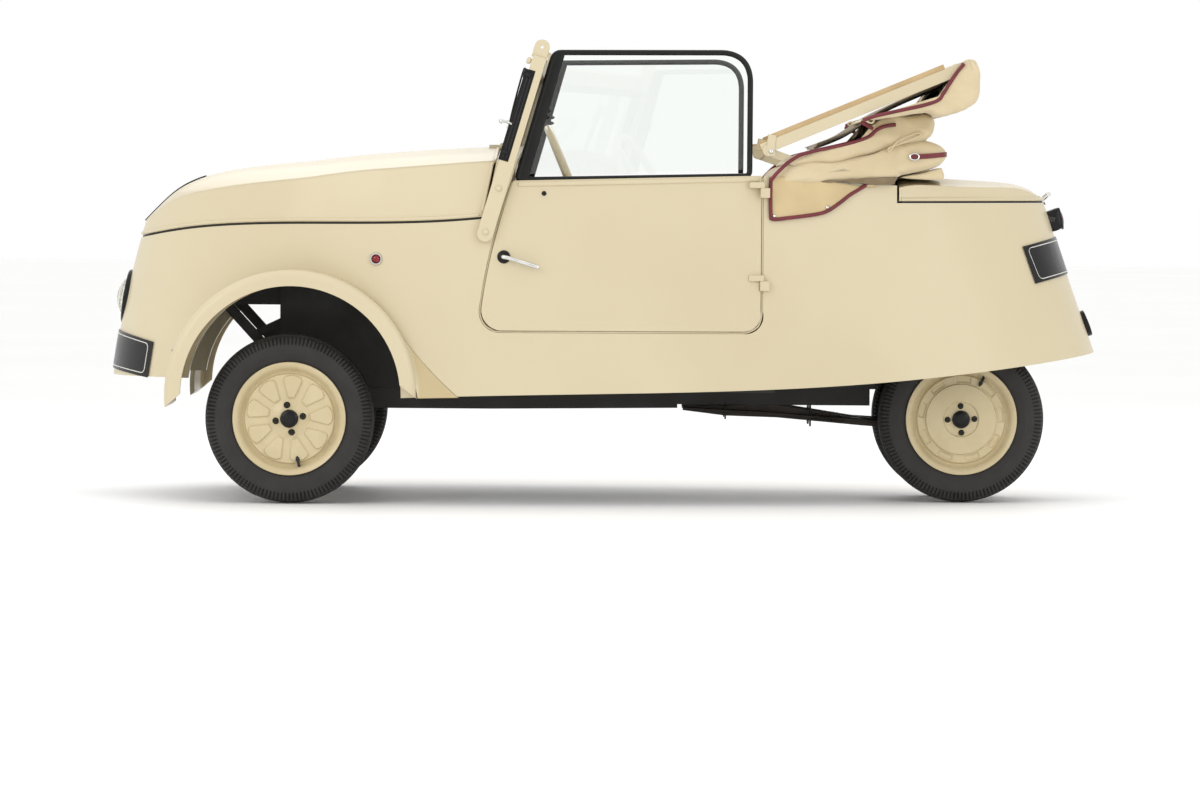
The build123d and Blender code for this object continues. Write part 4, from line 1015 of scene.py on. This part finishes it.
# side outlines in millimetres, ahead is positive
lowerFront = ((-437, 856), (-500, 853), (-590, 854), (-680, 859), (-772, 872), (-795, 905), (-788, 946),
              (-751, 951), (-689, 930), (-602, 911), (-520, 913), (-466, 894))
lowerEnd = ((-742, 878), (-790, 881), (-835, 888), (-882, 901), (-900, 917), (-902, 938), (-882, 957),
            (-842, 969), (-800, 967), (-744, 950))
upperFront = ((-478, 903), (-545, 901), (-615, 909), (-690, 929), (-751, 949), (-800, 968), (-812, 1000),
              (-798, 1036), (-760, 1036), (-718, 1026), (-693, 984), (-655, 966), (-600, 951), (-545, 938),
              (-509, 926))
upperEnd = ((-752, 952), (-800, 957), (-846, 967), (-866, 993), (-874, 1016), (-866, 1033), (-842, 1042),
            (-800, 1040), (-756, 1030))
headerCover = ((-938, 1172), (-958, 1184), (-976, 1175), (-984, 1145), (-984, 1108), (-976, 1074),
               (-944, 1050), (-900, 1037), (-868, 1032), (-845, 1042), (-780, 1034), (-712, 1024),
               (-690, 1022), (-702, 1031), (-760, 1045), (-836, 1060), (-872, 1073), (-888, 1098),
               (-904, 1124), (-922, 1150))
# outline of a dark roll under the folds: painted shade of the canvas underside on the deck
underShade = ((-545, 859), (-620, 857), (-700, 853), (-764, 851.5), (-771, 858), (-771, 878), (-700, 870),
             (-620, 866))
tongue = ((-784, 872), (-836, 883), (-886, 897), (-895, 893), (-896, 868), (-840, 867))


def hoodHalf(x):
    # half width of the folded canvas: as wide as the body at the front, narrower towards the boot
    return np.interp(-x, hood["widthAt"], hood["widths"])


def roll(outline, half, domeSize, taper=False, across=22, ends=9, steps=6):
    # closed side outline carried across the car; towards each side it draws in on a quarter ellipse
    loop = outlineOf(outline, steps, True)
    centre = loop.mean(0)
    turn = np.linspace(0, np.pi / 2, ends)
    side = half - domeSize + domeSize * np.sin(turn)
    y = np.concatenate([-side[::-1], np.linspace(-side[0], side[0], across)[1:-1], side])
    draw = np.cos(turn) ** 0.45
    draw = np.concatenate([draw[::-1], np.ones(across - 2), draw])
    flat = centre + (loop - centre)[None] * draw[:, None, None]
    narrow = hoodHalf(flat[..., 0]) / hood["half"] if taper else np.ones(flat.shape[:2])
    return np.stack([flat[..., 0], y[:, None] * narrow, flat[..., 1]], -1)


def creased(grid, depth, seed, lean=(0.42, -0.9), size=0.060):
    # a sum of seeded waves, long along the fold and short across it, moves each point along its normal
    draw = np.random.default_rng(seed)
    normal = unit(np.cross(np.gradient(grid, axis=0), np.roll(grid, -1, 1) - np.roll(grid, 1, 1)))
    total = np.zeros(grid.shape[:2])
    for k in range(7):
        wave = size * draw.uniform(0.6, 1.9)
        angle = math.atan2(lean[1], lean[0]) + draw.normal(0, 0.28)
        across = grid[..., 0] * math.cos(angle) + grid[..., 2] * math.sin(angle)
        across = across + 0.10 * np.sin(grid[..., 1] * draw.uniform(4, 12) + k)
        total += np.sin(2 * np.pi * across / wave + draw.uniform(0, 6.3)) * draw.uniform(0.4, 1.0)
    return grid + normal * (total * depth / 2.4)[..., None]


def foldPiece(name, outlines, seed, squashed=False, half=None, material=None, shape=None):
    shape = shape or {"domeSize": hood["dome"], "taper": half is None}
    patches = []
    for k, outline in enumerate(outlines):
        fold = roll(outline, half or hood["half"], **shape)
        patches.append((creased(fold, hood["wrinkle"], seed + k), False, True))
    piece = makePiece(name, patches, material or hoodCanvas, sharp=80)
    smoothed(piece)
    if squashed:
        pushed(piece)
    return piece


def pushed(piece):
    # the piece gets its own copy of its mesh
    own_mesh(piece)


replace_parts(foldPiece("hood_folds", [lowerFront, upperFront], hood["seed"]), "hood_canvas")
ends = foldPiece("hood_fold_ends", [lowerEnd, upperEnd], hood["seed"], squashed=True, half=hood["endHalf"])
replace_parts(ends, "hood_roll_ends")
header = foldPiece("hood_header_canvas", [headerCover], hood["seed"] + 5, half=hood["headerHalf"],
                   shape={"domeSize": hood["headerDome"]})
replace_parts(header, "hood_header_cover")
# dark roll under the folds in lining colour: painted shade of the canvas underside
foldPiece("hood_under_lining", [underShade], hood["seed"] + 9, material=liningShadeCloth)
tongueShape = {"half": 0.0875, "dome": 0.012, "middle": 0.2875, "clear": 0.004, "lidX": -0.817, "lidZ": 0.877,
               "lidSlope": 0.057, "lidRound": 5.1}


def tongues():
    # the corner of the cover that lies on each side of the lid, its lower edge kept on the lid's crown
    grids = []
    for side in (1, -1):
        grid = roll(tongue, tongueShape["half"], tongueShape["dome"], across=14)
        grid[..., 1] += side * tongueShape["middle"]
        lid = tongueShape["lidZ"] + (grid[..., 0] - tongueShape["lidX"]) * tongueShape["lidSlope"]
        lid = lid - grid[..., 1] ** 2 / tongueShape["lidRound"]
        grid[..., 2] = np.maximum(grid[..., 2], lid + tongueShape["clear"])
        grids.append((grid, False, True))
    return grids


corners = makePiece("hood_cover_corners", tongues(), hoodCanvas, sharp=80)
pushed(corners)


def bothSides(line, y, closed=False):
    # the same side-view line on each side of the car
    line = outlineOf(line, 8, closed)
    near = np.stack([line[:, 0], y(line[:, 0]), line[:, 1]], -1)
    return near, near * [1, -1, 1]


pipeLines = {
    "header": (((-940, 1171), (-921, 1147), (-902, 1118), (-886, 1092), (-873, 1075), (-836, 1061),
                (-783, 1049), (-739, 1039), (-706, 1031), (-676, 1020)),
               lambda x: np.interp(-x, (0.67, 0.70), (0.508, hood["headerHalf"]))),
    "fold": (((-767, 1011), (-741, 1007), (-719, 998), (-696, 979), (-662, 966), (-601, 951), (-545, 938),
              (-509, 926), (-478, 905), (-452, 880), (-436, 860)),
             lambda x: hoodHalf(x) + 0.001),
    "tab": (((-672, 1017), (-688, 1008), (-705, 998)), lambda x: hood["tabHalf"] + 0 * x),
}
piping = []
for line, y in pipeLines.values():
    for path in bothSides(line, y):
        piping.append(tube(path, hood["pipe"], 10, up=leftward))
makePiece("hood_piping", piping, redBinding)
loopLines = {
    "edge": ((-752, 940), (-750, 949), (-776, 959), (-811, 973), (-835, 985), (-826, 989), (-800, 980),
             (-770, 964)),
    "tab": ((-681, 1026), (-692, 1030), (-706, 1022), (-700, 1014), (-687, 1019)),
}
loops = [tube(path, hood["edgeLoop"], 8, True, leftward)
         for path in bothSides(loopLines["edge"], lambda x: hoodHalf(x) + 0.002, True)]
pushed(makePiece("hood_edge_loops", loops, hoodCanvas))
eyelets = [tube(path, hood["tabLoop"], 8, True, leftward)
           for path in bothSides(loopLines["tab"], lambda x: hood["tabHalf"] + 0.004 + 0 * x, True)]
makePiece("hood_tab_loops", eyelets, hoodCanvas)

flap = {
    "frontEdge": ((-437, 868), (-436, 815), (-437, 772), (-443, 759)), "front": -0.4375, "rear": -0.715,
    "top": 0.8705, "out": 0.0040, "drop": 0.026, "dropRun": (0.50, 0.72), "billow": 0.0022,
    "waves": (34, 5.2), "lift": 0.002, "pipeOut": 0.0055, "studs": ((-0.446, 0.767), (-0.587, 0.791)),
    "stud": (0.0055, 0.005),
    "low": ((-430, 757), (-488, 763), (-560, 773), (-590, 783), (-620, 803), (-650, 826), (-690, 850),
            (-725, 866)),
}


def flapLow(x):
    low = outlineOf(flap["low"], 8)
    return np.interp(-x, -low[:, 0], low[:, 1])


def flapGrid(side):
    # sheet over the hull between the shaped lower edge and the waist, lifted by a slow billow
    x = np.linspace(flap["front"], flap["rear"], 60)[:, None]
    share = np.linspace(0, 1, 24)[None]
    low = flapLow(x)
    z = low + (flap["top"] - flap["drop"] * step(-x, *flap["dropRun"]) - low) * share
    billow = flap["billow"] * np.sin(x * flap["waves"][0]) * np.sin(share * flap["waves"][1])
    out = bodyHalf(x, z) + flap["out"] + billow + flap["lift"] * share
    return np.stack([x + 0 * share, side * out, z], -1), False, False


for label, side in (("left", 1), ("right", -1)):
    sheet = makePiece("hood_flap_" + label, [flapGrid(side)], shadedFlapCanvas, sharp=80, closed=False)
    wall = sheet.modifiers.new("cloth", "SOLIDIFY")
    wall.thickness = hood["cloth"]
    wall.offset = 0.0
    edge = outlineOf(flap["frontEdge"] + flap["low"][1:7], 8)
    out = side * (bodyHalf(edge[:, 0], edge[:, 1]) + flap["pipeOut"])
    line = np.stack([edge[:, 0], out, edge[:, 1]], -1)
    makePiece("hood_flap_piping_" + label, [tube(line, hood["pipe"], 10, up=leftward)], redBinding)
    studs = []
    for x, z in flap["studs"]:
        spot = xyz(x, side * (bodyHalf(x, z) + flap["out"]), z)
        studs.append(dome(spot, (0, side, 0), *flap["stud"], 16))
    makePiece("hood_flap_studs_" + label, studs, chromePlate)

# lining sheet under the rails, dark: painted shade in the gap between rail and piping
liningShape = {"line": ((-560, 958), (-640, 990), (-720, 1042), (-800, 1082), (-880, 1118), (-935, 1150)),
               "half": 0.455, "sag": 0.012, "wave": 0.0015, "waves": 31, "columns": 40}
liningLine = outlineOf(liningShape["line"], 8)
y = np.linspace(-liningShape["half"], liningShape["half"], liningShape["columns"])[None]
hang = liningShape["sag"] * np.cos(y / liningShape["half"] * np.pi / 2)
hang = hang - liningShape["wave"] * np.sin(y * liningShape["waves"])
liningGrid = np.stack(np.broadcast_arrays(liningLine[:, :1], y, liningLine[:, 1:] - hang), -1)
lining = makePiece("hood_lining", [(liningGrid, False, False)], liningShadeCloth, sharp=80, closed=False)
wall = lining.modifiers.new("cloth", "SOLIDIFY")
wall.thickness = hood["cloth"]

strapShape = {"line": ((-806, 926), (-845, 928), (-880, 931), (-899, 933), (-906, 934)),
              "size": (0.003, 0.013), "halves": (0.4095, 0.4085, 0.4030, 0.3880, 0.3500)}
buckleShape = {"x": -0.818, "half": 0.4120, "z": 0.9265, "size": (0.012, 0.0085), "wire": 0.0020}
strapEnds, buckles = [], []
for side in (1, -1):
    x, z = np.array(strapShape["line"]).T * mm
    line = np.stack([x, side * np.array(strapShape["halves"]), z], -1)
    strapEnds.append(bar(smoothLine(line, 6), *strapShape["size"], power=5.0))
    t = np.linspace(0, 2 * np.pi, 40, endpoint=False)
    x = buckleShape["x"] + buckleShape["size"][0] * np.cos(t)
    z = buckleShape["z"] + buckleShape["size"][1] * np.sin(t)
    buckles.append(tube(np.stack([x, 0 * t + side * buckleShape["half"], z], -1), buckleShape["wire"], 8,
                        True, leftward))
pushed(makePiece("hood_strap", strapEnds, redBinding))
pushed(makePiece("hood_buckles", buckles, chromePlate))

railTrim = {"felt": ((-0.445, 0.4718, 0.9758), (-0.890, 0.4962, 1.1600)), "feltSize": (0.018, 0.020),
            "pad": ((-0.404, 0.470, 0.953), (-0.426, 0.470, 0.953)), "padSize": (0.016, 0.028),
            "iron": ((-0.440, 0.4835, 0.981), (-0.436, 0.4838, 0.955), (-0.436, 0.4838, 0.925)),
            "ironSize": (0.022, 0.003), "bolt": (-0.437, 0.4850, 0.937), "boltSize": (0.0070, 0.005)}
feltStrips, irons, bolts = [], [], []
for side in (1, -1):
    felt, pad, iron, bolt = (np.array(railTrim[key]) * [1, side, 1]
                             for key in ("felt", "pad", "iron", "bolt"))
    feltStrips.append(bar(felt, *railTrim["feltSize"], power=6.0))
    feltStrips.append(bar(pad, *railTrim["padSize"], power=6.0))
    irons.append(bar(smoothLine(iron, 6), *railTrim["ironSize"], up=leftward))
    bolts.append(dome(bolt, (0, side, 0), *railTrim["boltSize"], 18))
makePiece("hood_rail_felts", feltStrips, hoodFelt)
makePiece("hood_rail_irons", irons, creamEnamel)
makePiece("hood_rail_bolts", bolts, chromePlate)
print("hood done")


# tail

lidTrim = {"bead": 0.0050, "front": -0.780, "low": 0.809, "rise": 0.006 / 0.640, "beadUp": 0.0045,
           "beadEnd": -0.783, "sealDown": 0.0030, "sealEnd": -0.785}


def lidHeight(x):
    return lidTrim["low"] + (lidTrim["front"] - x) * lidTrim["rise"]


lidEdge = roundBody(lambda x: lidHeight(x) + lidTrim["beadUp"], lidTrim["beadEnd"], False, -0.001, 100)
makePiece("lid_rolled_edge", [tube(lidEdge, lidTrim["bead"], 12)], creamEnamel, "boot_lid")
lidSeal = roundBody(lambda x: lidHeight(x) - lidTrim["sealDown"], lidTrim["sealEnd"],
                    False, -bonnetTrim["sealIn"], 100)
makePiece("lid_seal", [bar(lidSeal, *bonnetTrim["sealSize"], power=5.0)], matRubber)
lidHandle = {
    "spot": xyz(-1.186, 0.0, 0.814), "out": (-0.75, 0, 0.66), "tall": 0.026, "gripRadius": 0.0060,
    "post": ((0, 0), (0.017, 0), (0.017, 0.003), (0.010, 0.006), (0.006, 0.008), (0.006, 0.026), (0, 0.026)),
    "grip": ((0, -0.030, 0), (0, 0, 0.002), (0, 0.030, 0)),
}
grip = lidHandle["spot"] + unit(xyz(*lidHandle["out"])) * lidHandle["tall"] + np.array(lidHandle["grip"])
tHandle = [spun(lidHandle["post"], lidHandle["spot"], lidHandle["out"], 28),
           tube(smoothLine(grip, 8), lidHandle["gripRadius"], 12, up=(1.0, 0.0, 0.3))]
makePiece("lid_catch", tHandle, chromePlate, "boot_lid")

tailLamp = {"lens": xyz(-1.2440, 0.0, 0.7660), "out": unit(xyz(-0.97, 0.0, 0.22)), "case": (0.0355, 0.009),
            "glass": (0.026, 0.010), "ring": (0.0272, 0.0030), "glassBack": 0.006, "ringBack": 0.004,
            "window": ((-1.222, 0.0352, 0.762), (-1.196, 0.0352, 0.768)), "windowSize": (0.002, 0.014),
            "outline": ((-1166, 779), (-1200, 784), (-1229, 794), (-1236, 791), (-1242, 766), (-1246, 745),
                        (-1240, 738), (-1219, 730), (-1184, 731))}
case = (roll(tailLamp["outline"], *tailLamp["case"], across=6, ends=7), False, True)
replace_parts(makePiece("tail_lamp_case", [case], blackEnamel), "tail_lamps")
spot, out = tailLamp["lens"], tailLamp["out"]
makePiece("tail_lamp_glass", [dome(spot - out * tailLamp["glassBack"], out, *tailLamp["glass"], 32, 8)],
          rubyGlass)
makePiece("tail_lamp_ring", [pipeRing(spot - out * tailLamp["ringBack"], out, *tailLamp["ring"], 40, 10)],
          blackEnamel)
makePiece("tail_lamp_window", [bar(tailLamp["window"], *tailLamp["windowSize"], power=4.0)], lampGlass)
reflector = {"spot": xyz(-1.316, 0.0, 0.483), "out": unit(xyz(-0.9, 0.0, 0.36)), "glass": (0.0290, 0.0045),
             "rim": (0.0318, 0.0022), "glassBack": 0.0015, "rimBack": 0.001,
             "case": ((0, -0.020), (0.034, -0.020), (0.0362, -0.006), (0.0362, 0.000), (0.0335, 0.0012),
                      (0, 0.0012))}
spot, out = reflector["spot"], reflector["out"]
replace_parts(makePiece("reflector_case", [spun(reflector["case"], spot, out, 48)], blackEnamel), "tail_lamps")
makePiece("reflector_glass", [dome(spot - out * reflector["glassBack"], out, *reflector["glass"], 40, 6)],
          rubyGlass)
makePiece("reflector_rim", [pipeRing(spot - out * reflector["rimBack"], out, *reflector["rim"], 56, 10)],
          chromePlate)


plateEdges = {
    "front": (lambda x: 0.410 + (x - 1.205) * (0.038 / 0.155),
              lambda x: 0.332 + (x - 1.220) * (0.028 / 0.155), (1.215, 1.228), True),
    "rear": (lambda x: 0.682 + (-1.120 - x) * (0.045 / 0.180),
             lambda x: 0.600 + (-1.156 - x) * (0.047 / 0.184), (-1.130, -1.165), False),
}
plateLine = {"lift": 0.0032, "bulge": 0.0014, "bulgeRun": (0.03, 0.09), "corner": 0.014, "radius": 0.0013,
             "points": 160, "arc": 8}


def plateLift(y):
    return plateLine["lift"] + plateLine["bulge"] * step(np.abs(y), *plateLine["bulgeRun"])


borders = []
for top, low, ends, nose in plateEdges.values():
    # white line with round corners: a loop over the plate's length and height, laid between its two edges
    count, arc = plateLine["points"], plateLine["arc"]
    upper, lower = (roundBody(edge, end, nose, plateLift, count) for edge, end in zip((top, low), ends))
    wide = lengths(upper)[-1]
    tall = np.linalg.norm(upper[count // 2] - lower[count // 2])
    flat = roundedLoop(((0, 0), (wide, 0), (wide, tall), (0, tall)), (plateLine["corner"],) * 4, arc)
    sides = [np.linspace(flat[k * arc - 1], flat[k * arc], 90, endpoint=False) for k in range(4)]
    flat = np.concatenate([part for k in range(4) for part in (sides[k], flat[k * arc:k * arc + arc - 1])])
    place, share = flat[:, 0] / wide * (count - 1), flat[:, 1:] / tall
    high, deep = (np.stack([np.interp(place, np.arange(count), column) for column in edge.T], -1)
                  for edge in (upper, lower))
    borders.append(tube(deep + (high - deep) * share, plateLine["radius"], 6, True, (0.31, 0.17, 0.93)))
makePiece("plate_border_lines", borders, whiteEnamel)
print("tail done")


# underneath

brake = {
    "sides": (0.128, -0.128), "rodRadius": 0.0042, "coilRadius": 0.0085, "wire": 0.0013, "turns": 9,
    "points": 280,
    "rod": ((-0.215, 1.0, 0.246), (-0.40, 1.0, 0.238), (-0.62, 1.0, 0.222), (-0.80, 0.82, 0.212)),
    "coil": ((-0.560, 1.0, 0.2265), (-0.650, 1.0, 0.2195)),
}
rods, coils = [], []
for y in brake["sides"]:
    rods.append(tube(np.array(brake["rod"]) * [1, y, 1], brake["rodRadius"], 10))
    turns = np.linspace(0, 2 * np.pi * brake["turns"], brake["points"])
    coil = np.linspace(*(np.array(brake["coil"]) * [1, y, 1]), brake["points"])
    coil[:, 1:] += brake["coilRadius"] * np.stack([np.cos(turns), np.sin(turns)], -1)
    coils.append(tube(coil, brake["wire"], 6, up=forward))
makePiece("brake_rods", rods, oiledSteel)
makePiece("brake_return_springs", coils, oiledSteel)
clipShape = {"sides": (0.084, -0.084), "half": 0.0235, "corner": 0.005, "size": (0.016, 0.004),
             "places": ((-0.330, 0.224, 0.254), (-0.560, 0.206, 0.250), (-0.760, 0.192, 0.222))}
clips = []
for y in clipShape["sides"]:
    for x, low, high in clipShape["places"]:
        half = clipShape["half"]
        loop = roundedLoop(((-half, low), (half, low), (half, high), (-half, high)),
                           (clipShape["corner"],) * 4, 5)
        path = np.stack([np.full(len(loop), x), y + loop[:, 0], loop[:, 1]], -1)
        clips.append(bar(path, *clipShape["size"], True, forward))
makePiece("spring_clips", clips, oiledSteel)

wingBolt = {"places": ((1.146, 0.396), (0.512, 0.318)), "out": 0.0005, "size": (0.0055, 0.0035)}
wingBolts = []
for side in (1, -1):
    for x, z in wingBolt["places"]:
        spot = xyz(x, side * (bodyHalf(x, z) + wingBolt["out"]), z)
        wingBolts.append(dome(spot, (0, side, 0), *wingBolt["size"], 16))
makePiece("wing_bolts", wingBolts, chassisBlack)

battery = {
    "rows": (0.590, 0.850), "columns": (-0.240, 0.008), "top": 0.745, "capRuns": (0.055, 0.125, 0.195),
    "capIn": 0.116, "cap": ((0, 0), (0.019, 0), (0.019, 0.007), (0.013, 0.010), (0.013, 0.014), (0, 0.014)),
    "post": ((0, 0), (0.010, 0), (0.009, 0.016), (0, 0.016)), "postRun": 0.215, "postIns": (0.03, 0.202),
    "linkRun": (0.805, 1.065), "linkSides": (0.210, -0.038), "linkTop": 0.754, "linkSize": (0.016, 0.007),
}
caps, links = [], []
for x in battery["rows"]:
    for y in battery["columns"]:
        for run in battery["capRuns"]:
            caps.append(spun(battery["cap"], (x + run, y + battery["capIn"], battery["top"]), upward, 24))
        for inward in battery["postIns"]:
            spot = (x + battery["postRun"], y + inward, battery["top"])
            links.append(spun(battery["post"], spot, upward, 20))
for y in battery["linkSides"]:
    links.append(bar([(x, y, battery["linkTop"]) for x in battery["linkRun"]], *battery["linkSize"]))
makePiece("battery_caps", caps, blackEnamel, slot="battery_case")
makePiece("battery_links", links, leadGrey)
print("underneath done")


# floor, light, camera

floorShape = {"half": 60, "z": -0.0005}


def groundPlane():
    half, z = floorShape["half"], floorShape["z"]
    mesh = bpy.data.meshes.new("studio_floor")
    corners = [(-half, -half, z), (half, -half, z), (half, half, z), (-half, half, z)]
    mesh.from_pydata(corners, [], [(0, 1, 2, 3)])
    ground = bpy.data.objects.new("studio_floor", mesh)
    bpy.context.scene.collection.objects.link(ground)
    paper = cloudy("pale_studio_floor", "#fbfbfa", "#fefefd", 2000, (0.5, 0.6), {"Specular IOR Level": 0.2})
    mesh.materials.append(paper)


groundPlane()
lights = {
    "top_softbox": {"place": (0.2, 0.8, 4.2), "aim": (0.1, 0.0, 0.6), "size": (6.0, 4.0), "power": 35},
    "key_softbox": {"place": (4.2, 5.0, 3.0), "aim": (0.2, 0.2, 0.6), "size": (3.0, 3.0), "power": 85},
    "fill_softbox": {"place": (-4.6, 5.4, 2.2), "aim": (-0.4, 0.0, 0.6), "size": (3.4, 3.0), "power": 62},
    "back_softbox": {"place": (0.0, -5.0, 3.2), "aim": (0.0, 0.0, 0.6), "size": (5.0, 2.4), "power": 40},
}
for name, light in lights.items():
    data = bpy.data.lights.new(name, "AREA")
    data.shape = "RECTANGLE"
    data.size, data.size_y = light["size"]
    data.energy = light["power"]
    lampObject = bpy.data.objects.new(name, data)
    bpy.context.scene.collection.objects.link(lampObject)
    lampObject.location = light["place"]
    toAim = Vector(light["aim"]) - Vector(light["place"])
    lampObject.rotation_euler = toAim.to_track_quat("-Z", "Y").to_euler()
world = bpy.data.worlds.new("studio")
bpy.context.scene.world = world
world.use_nodes = True
world.node_tree.nodes["Background"].inputs["Color"].default_value = linear("#ffffff")
world.node_tree.nodes["Background"].inputs["Strength"].default_value = 1.0

shot = {"eye": Vector((0.0131, 15.0, 0.7931)), "aim": Vector((0.0091, 0.0, 0.2619)), "frameWidth": 3.269,
        "roll": 0.0075}
camera = bpy.data.cameras.new("photo_view")
camera.sensor_width = 36.0
camera.lens = camera.sensor_width * (shot["eye"] - shot["aim"]).length / shot["frameWidth"]
camera.clip_end = 200.0
cameraObject = bpy.data.objects.new("photo_view", camera)
bpy.context.scene.collection.objects.link(cameraObject)
cameraObject.location = shot["eye"]
look = (shot["aim"] - shot["eye"]).to_track_quat("-Z", "Y").to_matrix()
spin = np.array([[math.cos(shot["roll"]), -math.sin(shot["roll"]), 0],
                 [math.sin(shot["roll"]), math.cos(shot["roll"]), 0], [0, 0, 1]])
cameraObject.rotation_mode = "QUATERNION"
cameraObject.rotation_quaternion = (look @ type(look)(spin.tolist())).to_quaternion()
bpy.context.scene.camera = cameraObject
bpy.context.scene.view_settings.view_transform = "Standard"

print("scene done")
